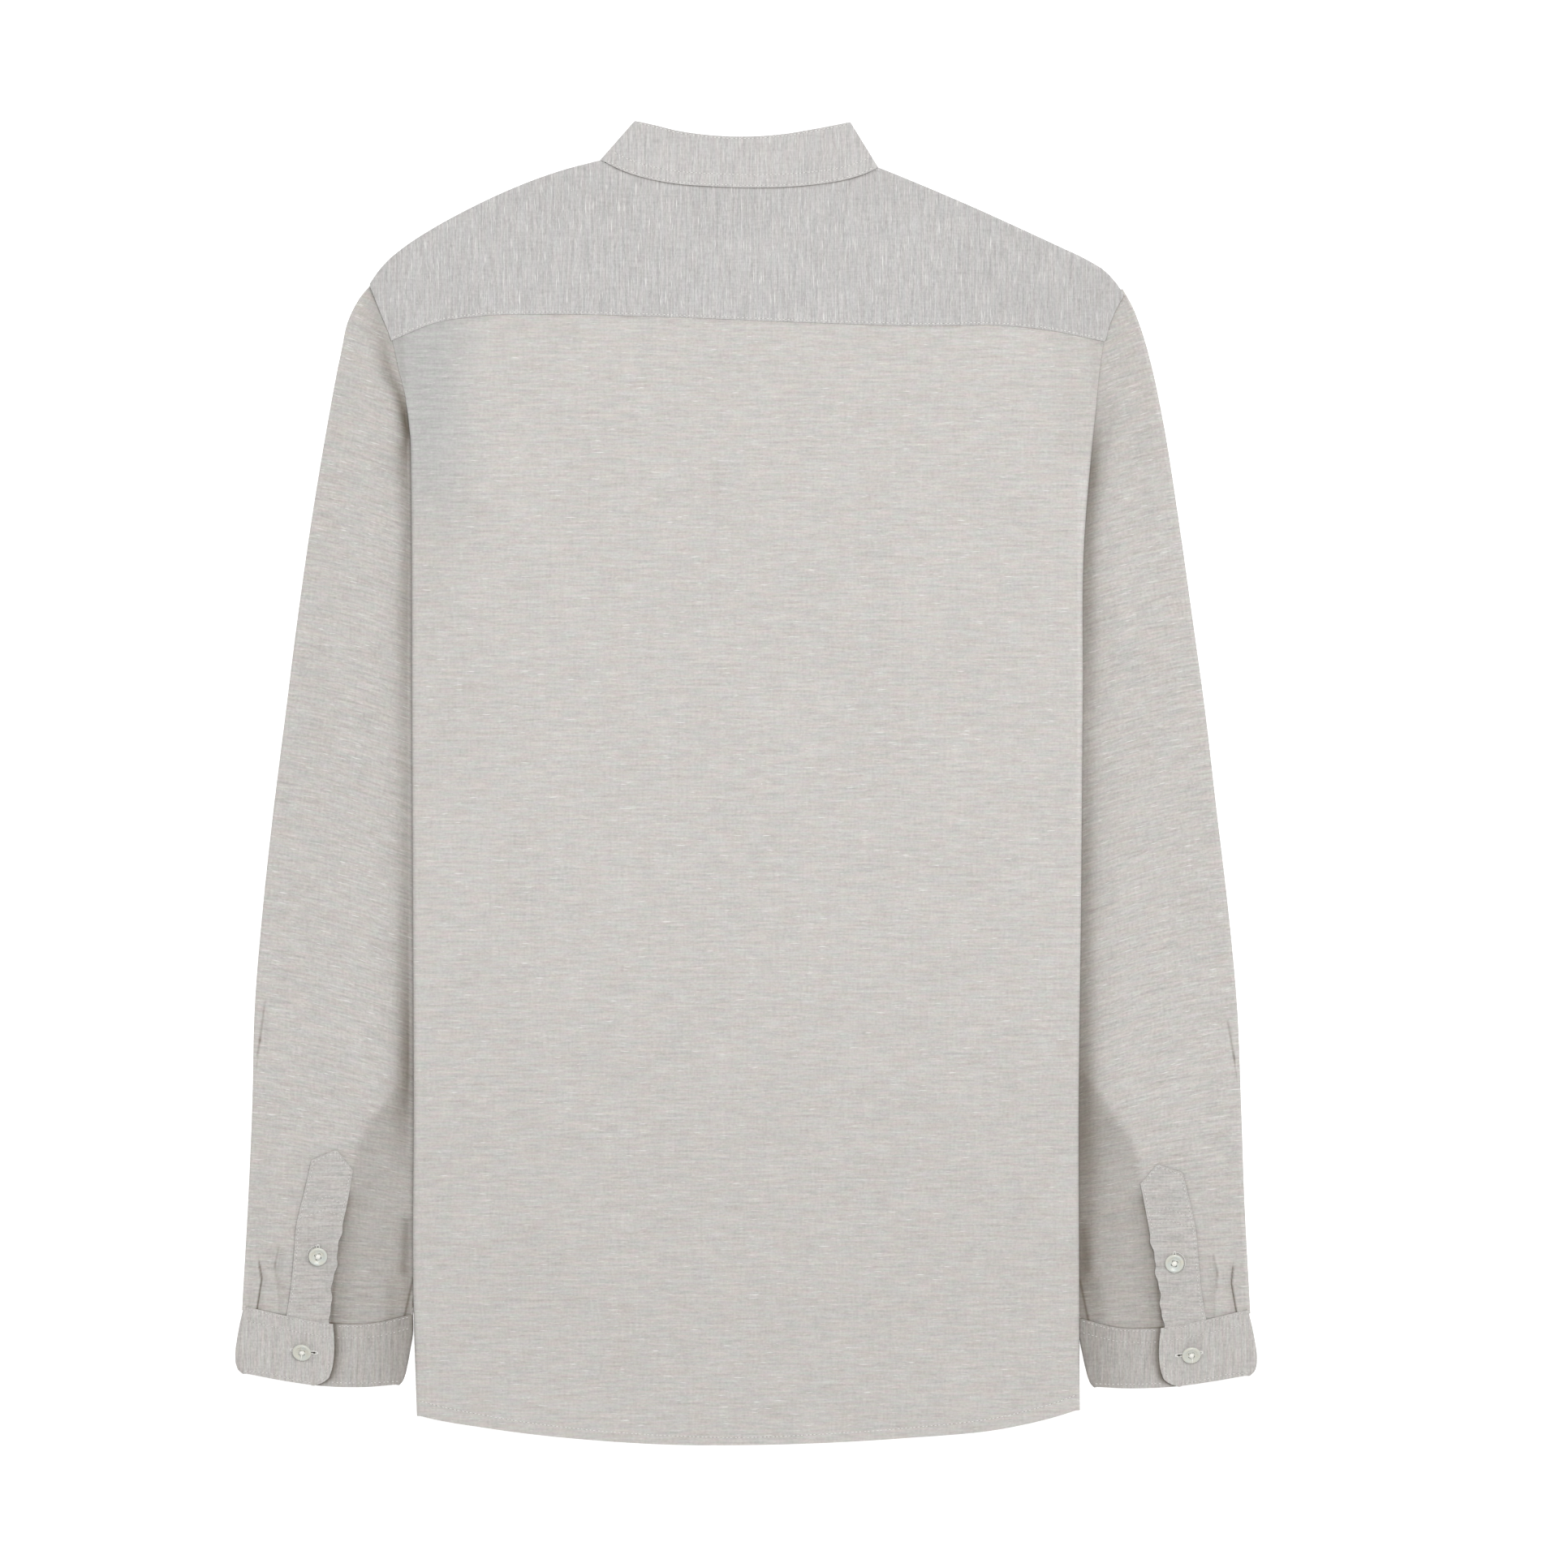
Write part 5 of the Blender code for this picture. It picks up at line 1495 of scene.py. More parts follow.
class Shader:
    """A material whose Principled BSDF is fed by expressions on its nodes."""

    def __init__(self, name, roughness, **constants):
        self.material = bpy.data.materials.new(name)
        self.material.use_nodes = True
        self.tree = self.material.node_tree
        self.surface = self.tree.nodes["Principled BSDF"]
        self.surface.inputs["Roughness"].default_value = roughness
        for socket, value in constants.items():
            self.surface.inputs[socket.replace("_", " ")].default_value = value

    def node(self, kind, settings, values, output=0):
        """Adds a node, sets it up, and gives its inputs their values or links."""
        made = self.tree.nodes.new(kind)
        for name, value in settings.items():
            setattr(made, name, value)
        for name, value in values.items():
            if isinstance(value, Value):
                self.tree.links.new(value.socket, made.inputs[name])
            else:
                made.inputs[name].default_value = value
        return Value(self, made.outputs[output])

    def feed(self, socket, value):
        self.tree.links.new(value.socket, self.surface.inputs[socket])

    def split(self, vector):
        first = self.node("ShaderNodeSeparateXYZ", {}, {0: vector})
        return [Value(self, output) for output in first.socket.node.outputs]

    def place(self):
        return self.split(self.node("ShaderNodeTexCoord", {}, {}, output="Object"))

    def noise(self, x, y, z=0.0, detail=1.0):
        """Noise about 0, from roughly -1 to 1, over coordinates in units of its own size."""
        vector = self.node("ShaderNodeCombineXYZ", {}, {0: x, 1: y, 2: z})
        values = {"Vector": vector, "Scale": 1.0, "Detail": detail}
        return (self.node("ShaderNodeTexNoise", {}, values) - 0.5) * 2.6

    def above(self, value, low, high):
        """0 below low, 1 above high."""
        settings = {"interpolation_type": "SMOOTHSTEP"}
        values = {"Value": value, "From Min": low, "From Max": high}
        return self.node("ShaderNodeMapRange", settings, values)

    def tint(self, colour, other, share):
        """One colour towards another, and past it where the share is above 1."""
        settings = {"data_type": "RGBA", "blend_type": "MIX", "clamp_factor": False}
        ends = [value if isinstance(value, Value) else (*value, 1.0) for value in (colour, other)]
        return self.node("ShaderNodeMix", settings, {0: share, 6: ends[0], 7: ends[1]}, output=2)

    def dyed(self, colour, dye):
        """A colour multiplied by another."""
        settings = {"data_type": "RGBA", "blend_type": "MULTIPLY"}
        return self.node("ShaderNodeMix", settings, {0: 1.0, 6: colour, 7: dye}, output=2)

    def scaled(self, colour, amount):
        values = {0: colour, "Scale": amount}
        return self.node("ShaderNodeVectorMath", {"operation": "SCALE"}, values)

    def bump(self, height, strength, distance):
        values = {"Strength": strength, "Distance": distance, "Height": height}
        self.feed("Normal", self.node("ShaderNodeBump", {}, values))


# What the deepest shade leaves of the cloth's colour: cloth beside cloth makes it warmer.
SHADE_COLOUR = (0.09, 0.05, 0.0)
# What the cloth's hues make of its colour.
HUES = {
    "warm": (1.026, 0.992, 0.978),
    "cool": (0.978, 1.006, 1.018),
    "rose": (1.015, 0.963, 1.009),
    "leaf": (0.985, 1.031, 0.991),
}
BLUE_HUE = (0.968, 1.003, 1.03)
WEAVE_DEPTH = 0.00018


def linen(name, colour, look, weave, seed):
    """Slubbed linen: uneven threads both ways, pale slubs along the weft, a few nubs, soft patches.

    Each noise has its size along the weft and across it, in millimetres, and a start of its own.
    """
    shader = Shader(name, 0.9, Specular_IOR_Level=0.25, Sheen_Weight=0.06, Sheen_Roughness=0.6)
    cloth = shader.node("ShaderNodeAttribute", {"attribute_name": "cloth"}, {}, output="Vector")
    chill = shader.node("ShaderNodeAttribute", {"attribute_name": "chill"}, {}, output="Fac")
    s, t, tone = shader.split(cloth)
    thread = look.thread / MM * weave["thread"]
    run = weave["run"]
    weft = shader.noise(s / (11.0 * run), t / thread, seed)
    knots = shader.noise(s / (1.8 * run), t / thread, seed + 30.0)
    warp = shader.noise(s / thread, t / 7.0, seed + 3.0)
    streak = shader.noise(s / 30.0, t / (1.8 * thread), seed + 6.0)
    cross = shader.noise(s / 2.6, t / 34.0, seed + 9.0, 2.0)
    patch = shader.noise(s / 48.0, t / 30.0, seed + 12.0, 3.0)
    hue = shader.noise(s / 17.0, t / 5.5, seed + 15.0, 2.0)
    hue = hue + shader.noise(s / 11.0, t / 0.9, seed + 24.0)
    green = shader.noise(s / 8.0, t / 1.6, seed + 27.0, 2.0)
    slub = shader.noise(s / (8.5 * run), t / (0.8 * thread), seed + 18.0)
    slub = shader.above(slub, 0.34 / weave["slubs"], 0.84 / weave["slubs"])
    nub = shader.above(shader.noise(s / 1.5, t / 1.2, seed + 21.0), 0.62, 0.9)
    shade = weft * look.weft + knots * look.knots + warp * look.warp + streak * look.streak
    shade = shade * weave["contrast"] + cross * look.cross + patch * look.patch
    hues = {name: [mix(1.0, part, weave["hue"]) for part in parts] for name, parts in HUES.items()}
    warm, cool, blue = (
        [value * part for value, part in zip(colour, parts)]
        for parts in (hues["warm"], hues["cool"], BLUE_HUE)
    )
    base = shader.tint(warm, cool, shader.above(hue, -0.8, 0.8))
    base = shader.tint(base, blue, chill)
    dye = shader.tint(hues["rose"], hues["leaf"], shader.above(green, -0.7, 0.7))
    base = shader.dyed(base, dye)
    base = shader.scaled(base, shade + 1.0)
    for pale in (slub, nub):
        base = shader.tint(base, tuple(look.slub_colour), pale * look.slubs)
    # Painted light and shade: the tone attribute scales the colour, turning warmer in the shade.
    base = shader.dyed(base, shader.tint(SHADE_COLOUR, (1.0, 1.0, 1.0), tone))
    shader.feed("Base Color", base)
    height = (weft + knots + warp) * 0.4 + slub * 0.8 + nub
    shader.bump(height, look.relief, WEAVE_DEPTH)
    return shader.material


def speckled(shader, colour, grain, depth, start=0.0, detail=1.0):
    """One colour, a little uneven in shade over a grain in metres."""
    x, y, _ = shader.place()
    shade = shader.noise(x / grain, y / grain, start, detail)
    shader.feed("Base Color", shader.scaled(colour, shade * depth + 1.0))
    return shader.material


def thread_material(name, colour):
    shader = Shader(name, 0.7, Specular_IOR_Level=0.3, Sheen_Weight=0.1)
    return speckled(shader, colour, 0.0011, 0.06, 2.0, 2.0)


# Near-black drops of painted shadow, for the needle's pricks and the buttonholes' slits.
def painted_shadow_material(name, colour):
    return speckled(Shader(name, 0.95, Specular_IOR_Level=0.1), colour, 0.0008, 0.15)


def pearl(name, colour):
    """Pearly plastic with soft clouds and a clear gloss."""
    shader = Shader(name, 0.28, Specular_IOR_Level=0.5, Coat_Weight=0.5, Coat_Roughness=0.08)
    x, y, z = shader.place()
    cloud = shader.noise(x / 0.0045, y / 0.0028, z / 0.003, 3.0)
    warm = (colour[0] * 1.04, colour[1], colour[2] * 0.93)
    cool = (colour[0] * 0.93, colour[1], colour[2] * 1.06)
    base = shader.tint(warm, cool, shader.above(cloud, -0.8, 0.8))
    shader.feed("Base Color", base)
    shader.feed("Roughness", cloud * 0.06 + 0.28)
    return shader.material


def material(name, make, *values):
    """A material by name, made once."""
    return bpy.data.materials.get(name) or make(name, *values)


# What a user may change --------------------------------------------------------------------------


def colour_setting(name, description, default):
    return bpy.props.FloatVectorProperty(
        name=name, description=description, default=default, subtype="COLOR", min=0.0, max=1.0
    )


def amount_setting(name, description, default, top=1.0):
    return bpy.props.FloatProperty(
        name=name, description=description, default=default, min=0.0, max=top
    )


def length_setting(name, description, default):
    return bpy.props.FloatProperty(
        name=name, description=description, default=default, min=0.0, precision=5, unit="LENGTH"
    )


class ShirtLinen(bpy.types.PropertyGroup):
    body: colour_setting("Body", "Linen of the back, fronts and sleeves", (0.487, 0.470, 0.447))
    yoke: colour_setting("Yoke", "Linen of the yoke; its weft runs upright", (0.441, 0.432, 0.424))
    collar: colour_setting("Collar", "Linen of the collar", (0.461, 0.449, 0.439))
    # The cuffs' linen is the body's drawn about a tenth darker: painted shade.
    cuff: colour_setting("Cuffs", "Linen of the cuffs and sleeve plackets", (0.436, 0.420, 0.401))
    slub_colour: colour_setting("Slub colour", "Pale thick places in a thread", (0.68, 0.67, 0.65))
    thread: length_setting("Thread", "Width of one thread of the weave", 0.00125)
    weft: amount_setting("Weft", "How much the weft threads differ in shade", 0.11)
    knots: amount_setting("Knots", "How much short lengths of a weft thread differ", 0.10)
    warp: amount_setting("Warp", "How much the warp threads differ in shade", 0.05)
    streak: amount_setting("Streaks", "How much groups of weft threads differ", 0.085)
    cross: amount_setting("Cross streaks", "How much groups of warp threads differ", 0.035)
    patch: amount_setting("Patches", "How much the cloth differs over a hand's width", 0.03)
    slubs: amount_setting("Slubs", "How far a slub goes to its own colour", 0.95)
    relief: amount_setting("Relief", "Depth of the weave", 0.35)


class ShirtThread(bpy.types.PropertyGroup):
    colour: colour_setting("Colour", "Sewing thread", (0.68, 0.67, 0.645))
    pitch: length_setting("Pitch", "From one stitch to the next", 0.0025)
    length: length_setting("Stitch", "Length of a stitch on the surface", 0.0017)
    width: length_setting("Width", "Width of the thread as it lies", 0.00058)


class ShirtButtons(bpy.types.PropertyGroup):
    colour: colour_setting("Colour", "Pearly plastic", (0.56, 0.56, 0.505))
    thread_colour: colour_setting("Thread", "Thread that holds the buttons", (0.78, 0.77, 0.72))
    width: length_setting("Width", "Across a button", 0.0114)
    height: length_setting("Height", "Thickness of a button at its rim", 0.0020)
    hole: length_setting("Holes", "Width of each of the four holes", 0.0014)


class ShirtStage(bpy.types.PropertyGroup):
    view_width: length_setting("View", "Width of the floor that the camera sees", 0.9467)
    aside: length_setting("Aside", "How far the view's middle lies right of the shirt's", 0.023)
    camera_height: length_setting("Camera", "Height of the camera over the floor", 6.0)
    sky: amount_setting("Sky", "Light from all round", 0.74, 10.0)
    key: amount_setting("Lamp", "Watts of the large lamp above", 37.0, 1000.0)
    floor: colour_setting("Floor", "Pale floor", (0.86, 0.86, 0.86))
    glow: amount_setting("Floor glow", "Light that the pale floor gives itself", 0.5, 10.0)


# Pieces ------------------------------------------------------------------------------------------


# What sets a linen apart: how uneven its threads are, their width, how far they run evenly, and how
# strong its slubs and its hues are, all against the plain linen's.
WEAVE = ("contrast", "thread", "run", "slubs", "hue")
# Each linen's setting for the colour, the start of its pattern and its weave.
LINENS = {
    "body": ("body", 160.0, (1.06, 1.0, 1.0, 1.0, 1.0)),
    "sleeve": ("body", 240.0, (1.32, 1.0, 1.0, 1.1, 1.0)),
    "yoke": ("yoke", 170.0, (1.58, 0.74, 1.3, 1.2, 0.5)),
    "collar": ("collar", 250.0, (1.55, 0.78, 1.5, 1.1, 0.5)),
    "cuff": ("cuff", 190.0, (1.65, 0.85, 1.0, 0.8, 0.7)),
}


def cloth_piece(context, sheet, name, key, wall, node):
    """The sheet in its linen, as the piece that stands for a solid."""
    look = context.scene.shirt_linen
    source, seed, weave = LINENS[key]
    colour, weave = tuple(getattr(look, source)), dict(zip(WEAVE, weave))
    cloth = material("linen_" + key, linen, colour, look, weave, seed)
    return keep(sheet.finish(name, cloth, wall), node)


FLOOR_REACH = 6.0
LAMP_SIZE = 1.6
LAMP_PLACE = (0.35, 0.5, 2.4)
SENSOR = 36.0
VIEW_MIDDLE_Y = -0.0005
FAR_CLIP = 40.0


class SHIRT_OT_stage(bpy.types.Operator):
    """Sets out the floor, the light and the camera above the shirt"""

    bl_idname = "shirt.stage"
    bl_label = "Stage"

    def execute(self, context):
        stage = context.scene.shirt_stage
        bm = bmesh.new()
        bmesh.ops.create_grid(bm, x_segments=1, y_segments=1, size=FLOOR_REACH)
        mesh = bpy.data.meshes.new("floor")
        bm.to_mesh(mesh)
        bm.free()
        shader = Shader("floor", 0.9, Specular_IOR_Level=0.0)
        shader.surface.inputs["Base Color"].default_value = (*stage.floor, 1.0)
        shader.surface.inputs["Emission Color"].default_value = (1.0, 1.0, 1.0, 1.0)
        shader.surface.inputs["Emission Strength"].default_value = stage.glow
        mesh.materials.append(shader.material)
        floor = bpy.data.objects.new("floor", mesh)
        context.scene.collection.objects.link(floor)
        floor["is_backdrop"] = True

        world = bpy.data.worlds.new("studio")
        world.use_nodes = True
        sky = world.node_tree.nodes["Background"].inputs
        sky["Color"].default_value = (1.0, 1.0, 1.0, 1.0)
        sky["Strength"].default_value = stage.sky
        context.scene.world = world

        lamp = bpy.data.lights.new("lamp", "AREA")
        lamp.size = LAMP_SIZE
        lamp.energy = stage.key
        lit = bpy.data.objects.new("lamp", lamp)
        lit.location = LAMP_PLACE
        lit.rotation_euler = (-lit.location).to_track_quat("-Z", "Y").to_euler()
        context.scene.collection.objects.link(lit)

        lens = bpy.data.cameras.new("camera")
        lens.sensor_width = SENSOR
        lens.lens = SENSOR * stage.camera_height / stage.view_width
        lens.clip_end = FAR_CLIP
        camera = bpy.data.objects.new("camera", lens)
        camera.location = (stage.aside, VIEW_MIDDLE_Y, stage.camera_height)
        context.scene.collection.objects.link(camera)
        context.scene.camera = camera
        context.scene.view_settings.view_transform = "Standard"
        return {"FINISHED"}


class SHIRT_OT_back(bpy.types.Operator):
    """Lays the back, with its sides turned under"""

    bl_idname = "shirt.back"
    bl_label = "Back"

    def execute(self, context):
        sheet = Sheet()
        us = spread(0.0, (0.9, 44), (0.97, 6), (1.0, 4))
        turn = spread(0.0, (1.0, 8), (2.0, 12))
        for side in SIDES:
            lay_half(sheet, side, back_piece(), 0.0, us, turn, back_painted_shading, back_chill)
        name, node = "back_cloth", "back"
        piece = cloth_piece(context, sheet, name, "body", CLOTH, node)
        return {"FINISHED"}


class SHIRT_OT_fronts(bpy.types.Operator):
    """Lays the two fronts and the placket between them"""

    bl_idname = "shirt.fronts"
    bl_label = "Fronts"

    def execute(self, context):
        us = spread(0.0, (0.9, 40), (1.0, 8))
        turn = spread(0.0, (1.0, 6), (2.0, 12))
        for side, inner in FRONT_INNER.items():
            sheet = Sheet()
            lay_half(sheet, side, front_piece(side), inner, us, turn)
            name, node = "front_cloth_" + side, "front_" + side
            piece = cloth_piece(context, sheet, name, "body", CLOTH, node)
        sheet = Sheet()
        sheet.lay(placket_place, spread(-1.0, (1.0, 12)), shares_of(FRONT_ROWS))
        name, node = "placket_cloth", "front_placket"
        piece = cloth_piece(context, sheet, name, "body", CLOTH, node)
        return {"FINISHED"}


class SHIRT_OT_yoke(bpy.types.Operator):
    """Lays the yoke over the shoulders"""

    bl_idname = "shirt.yoke"
    bl_label = "Yoke"

    def execute(self, context):
        sheet = Sheet()
        outs = {}
        for side in SIDES:
            neck, tip = YOKE_NECK[side], YOKE_TIP[side]
            outs[side] = [mix(neck, tip, share) / tip for share in spread(0.0, (1.0, 34))]
        middle = np.linspace(-outs["left"][0], outs["right"][0], 44)[1:-1]
        columns = [-u for u in outs["left"][::-1]] + list(middle) + outs["right"]
        rows = spread(0.0, (0.03, 4), (0.09, 4), (0.93, 22), (1.0, 16))
        sheet.lay(yoke_top, columns, rows, yoke_painted_shading)
        for side in SIDES:
            sheet.lay(yoke_over(side), outs[side], spread(0.0, (1.0, 8), (2.0, 9)))
        name, node = "yoke_cloth", "yoke"
        piece = cloth_piece(context, sheet, name, "yoke", CLOTH, node)
        return {"FINISHED"}


class SHIRT_OT_collar(bpy.types.Operator):
    """Lays the collar band round the neck"""

    bl_idname = "shirt.collar"
    bl_label = "Collar"

    def execute(self, context):
        sheet = Sheet()
        rows = spread(0.0, (1.0, 12))
        sheet.lay(collar_back, spread(0.0, (0.12, 6), (0.88, 44), (1.0, 6)), rows)
        for side in SIDES:
            sheet.lay(collar_turn(side), spread(0.0, (1.0, 10)), rows)
            sheet.lay(collar_front(side), spread(0.0, (0.2, 8), (1.1, 40)), rows)
        name, node = "collar_cloth", "collar"
        piece = cloth_piece(context, sheet, name, "collar", BAND, node)
        return {"FINISHED"}


class SHIRT_OT_sleeves(bpy.types.Operator):
    """Lays the two sleeves beside and under the body"""

    bl_idname = "shirt.sleeves"
    bl_label = "Sleeves"

    def execute(self, context):
        for side in SIDES:
            sleeve, sheet = Sleeve(side), Sheet()
            rows = spread(0.0, (0.0022, 1), (0.0066, 7), (sleeve.up(-270), 20))
            rows += spread(rows[-1], (sleeve.up(-110), 54), (sleeve.up(205), 70), (1.0, 30))[1:]
            across = spread(0.0, (0.27, 46), (0.9, 38), (0.955, 4), (1.0, 14), (2.0, 8))
            sheet.lay(sleeve.upper, across, rows, sleeve.tone)
            sheet.lay(sleeve.lower, spread(0.0, (1.0, 16)), rows)
            sheet.lay(sleeve.outer_turn, spread(0.0, (1.0, 8)), rows)
            sheet.lay(sleeve.inner_turn, spread(0.0, (1.0, 4)), rows)
            name, node = "sleeve_cloth_" + side, "sleeve_" + side
            piece = cloth_piece(context, sheet, name, "sleeve", CLOTH, node)
        return {"FINISHED"}


class SHIRT_OT_cuffs(bpy.types.Operator):
    """Lays the cuffs and the pointed plackets above them"""

    bl_idname = "shirt.cuffs"
    bl_label = "Cuffs"

    def execute(self, context):
        for side in SIDES:
            cuff, sheet = Cuff(side), Sheet()
            rows = spread(0.0, (0.2, 8), (1.0, 14))
            sheet.lay(cuff.flat("lap"), spread(0.0, (0.8, 24), (1.0, 16)), rows, cuff.lap_painted_light)
            sheet.lay(cuff.flat("low"), spread(0.0, (1.0, 24)), rows)
            under = spread(CUFF_LAP_START, (0.5, 6), (0.6, 20), (1.0, 30))
            sheet.lay(cuff.flat("under"), under, rows, cuff.under_painted_shade)
            sheet.lay(cuff.turn(True), spread(0.0, (1.0, 8)), rows, cuff.under_painted_shade)
            sheet.lay(cuff.turn(False), spread(0.0, (1.0, 10)), rows, cuff.lap_painted_light)
            name, node = "cuff_cloth_" + side, "cuff_" + side
            piece = cloth_piece(context, sheet, name, "cuff", BAND, node)
            sheet = Sheet()
            sheet.lay(gauntlet_place(side), spread(0.0, (1.0, 16)), spread(0.0, (1.0, 60)))
            name, node = "gauntlet_cloth_" + side, "gauntlet_" + side
            piece = cloth_piece(context, sheet, name, "cuff", CLOTH, node)
        return {"FINISHED"}


# How much of a stitch's own length and width shows, for rows that lie deeper in the cloth.
GAUGES = {"plain": (1.0, 1.0), "slim": (0.9, 0.7), "faint": (0.9, 0.56)}
# A cuff's rows of stitches: the edge's v, how far from it, their gauge and u at the lap's end.
CUFF_ROWS = ((1.0, -1.3, "faint", 0.97), (1.0, -8.2, "faint", 0.97), (0.0, 2.7, "slim", 0.9))
# A gauntlet's rows, as beside_edge takes them.
GAUNTLET_ROWS = (
    ("u", 1.0, -1.6, 0.01, 0.98),
    ("u", 0.0, 1.6, 0.64, 0.98),
    ("v", 1.0, -1.6, 0.06, 0.94),
)
# Stitches in an arc round a gauntlet's button: angles in degrees, the arc's radius and their size.
ARC = {"angles": range(92, 213, 11), "radius": 6.5, "length": 1.7, "width": 0.55}
# Heights, as shares, of the two slanting rows across a gauntlet, and how far they fall.
SLANTS = (0.68, 0.755)
SLANT_FALL = 0.05


class SHIRT_OT_stitching(bpy.types.Operator):
    """Sews the rows of stitches along the hems, seams, bands and plackets"""

    bl_idname = "shirt.stitching"
    bl_label = "Stitching"

    def execute(self, context):
        sewing = context.scene.shirt_thread
        pitch, length, width = sewing.pitch / MM, sewing.length / MM, sewing.width / MM
        gauges = {name: (pitch, length * own[0], width * own[1]) for name, own in GAUGES.items()}
        cotton = material("sewing_thread", thread_material, tuple(sewing.colour))
        # The pricks between the stitches are painted shadow.
        prick = material("needle_prick", painted_shadow_material, (0.30, 0.285, 0.27))
        self.body(gauges["plain"], cotton, prick)
        self.collar(gauges["plain"], cotton, prick)
        for side in SIDES:
            self.cuff(side, gauges, cotton, prick)
            self.gauntlet(side, gauges, cotton, prick)
        return {"FINISHED"}

    def body(self, gauge, cotton, prick):
        thread = Thread()
        for side in SIDES:
            above = half_panel(side, back_piece(), 0.0)[0]
            thread.follow(above, ("v", 0.0, HEM_DEPTH, 0.0, 1.0), CLOTH, 1, gauge)
        thread.finish("stitches_back", cotton, prick)
        thread = Thread()
        thread.follow(yoke_top, ("v", 0.0, 1.3, -0.995, 0.995, 300), CLOTH, 1, gauge)
        for side in SIDES:
            neck = YOKE_NECK[side] / YOKE_TIP[side]
            thread.follow(yoke_over(side), ("v", 2.0, -1.5, neck + 0.01, 0.99), CLOTH, -1, gauge)
        thread.finish("stitches_yoke", cotton, prick)
        thread = Thread()
        for side, inner in FRONT_INNER.items():
            above = half_panel(side, front_piece(side), inner)[0]
            thread.follow(above, ("v", 0.0, HEM_DEPTH, 0.08, 0.99), CLOTH, -1, gauge)
        for edge in (-1.0, 1.0):
            row = ("u", edge, -1.8 * edge, 0.003, 0.997, 300)
            thread.follow(placket_place, row, CLOTH, -1, gauge)
        thread.follow(placket_place, ("v", 0.0, HEM_DEPTH, -0.97, 0.97), CLOTH, -1, gauge)
        thread.finish("stitches_fronts", cotton, prick)

    def collar(self, gauge, cotton, prick):
        thread = Thread()
        for at, inset in ((1.0, -1.2), (0.0, 1.3)):
            thread.follow(collar_back, ("v", at, inset, 0.004, 0.996), BAND, 1, gauge)
            for side in SIDES:
                row = ("v", at, inset, 0.02, 1.08)
                thread.follow(collar_front(side), row, BAND, -1, gauge)
        thread.follow(collar_back, ("v", 0.0, 7.8, 0.004, 0.996), BAND, 1, gauge)
        thread.finish("stitches_collar", cotton, prick)

    def cuff(self, side, gauges, cotton, prick):
        thread, cuff = Thread(), Cuff(side)
        lap, under, low = (cuff.flat(key) for key in ("lap", "under", "low"))
        for at, inset, gauge, lap_end in CUFF_ROWS:
            gauge = gauges[gauge]
            thread.follow(lap, ("v", at, inset, 0.0, lap_end), BAND, 1, gauge)
            thread.follow(under, ("v", at, inset, CUFF_LAP_END + 0.035, 1.0), BAND, 1, gauge)
            thread.follow(low, ("v", at, inset, 0.0, 1.0), BAND, -1, gauge)
        thread.follow(lap, ("u", 1.0, -2.6, 0.09, 0.42), BAND, 1, gauges["faint"])
        thread.finish("stitches_cuff_" + side, cotton, prick)

    def gauntlet(self, side, gauges, cotton, prick):
        thread, gauntlet = Thread(), gauntlet_place(side)
        for row in GAUNTLET_ROWS:
            thread.follow(gauntlet, row, CLOTH, 1, gauges["slim"])
        x, y = GAUNTLET_BUTTONS[side]
        middle = np.array([x, y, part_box("button_gauntlet_" + side)[0].z / MM + 0.15])
        for angle in ARC["angles"]:
            angle = math.radians(angle)
            ray = np.array([-SIDES[side] * math.cos(angle), math.sin(angle), 0.0])
            centre = middle + ray * ARC["radius"]
            thread.stitch(centre, np.cross(ray, UP), UP, ARC["length"], ARC["width"])
        across = np.linspace(0.08, 0.92, 30)[None, :]
        fall = SLANT_FALL * np.linspace(0.0, 1.0, 30)[None, :]
        for height in SLANTS:
            thread.sew(gauntlet, (across, height - fall), CLOTH, 1, *gauges["faint"])
        thread.finish("stitches_gauntlet_" + side, cotton, prick)


# Length of each kind of buttonhole.
BUTTONHOLES = {"cuff": 17.0, "gauntlet": 13.0, "front": 15.0, "collar": 15.0}


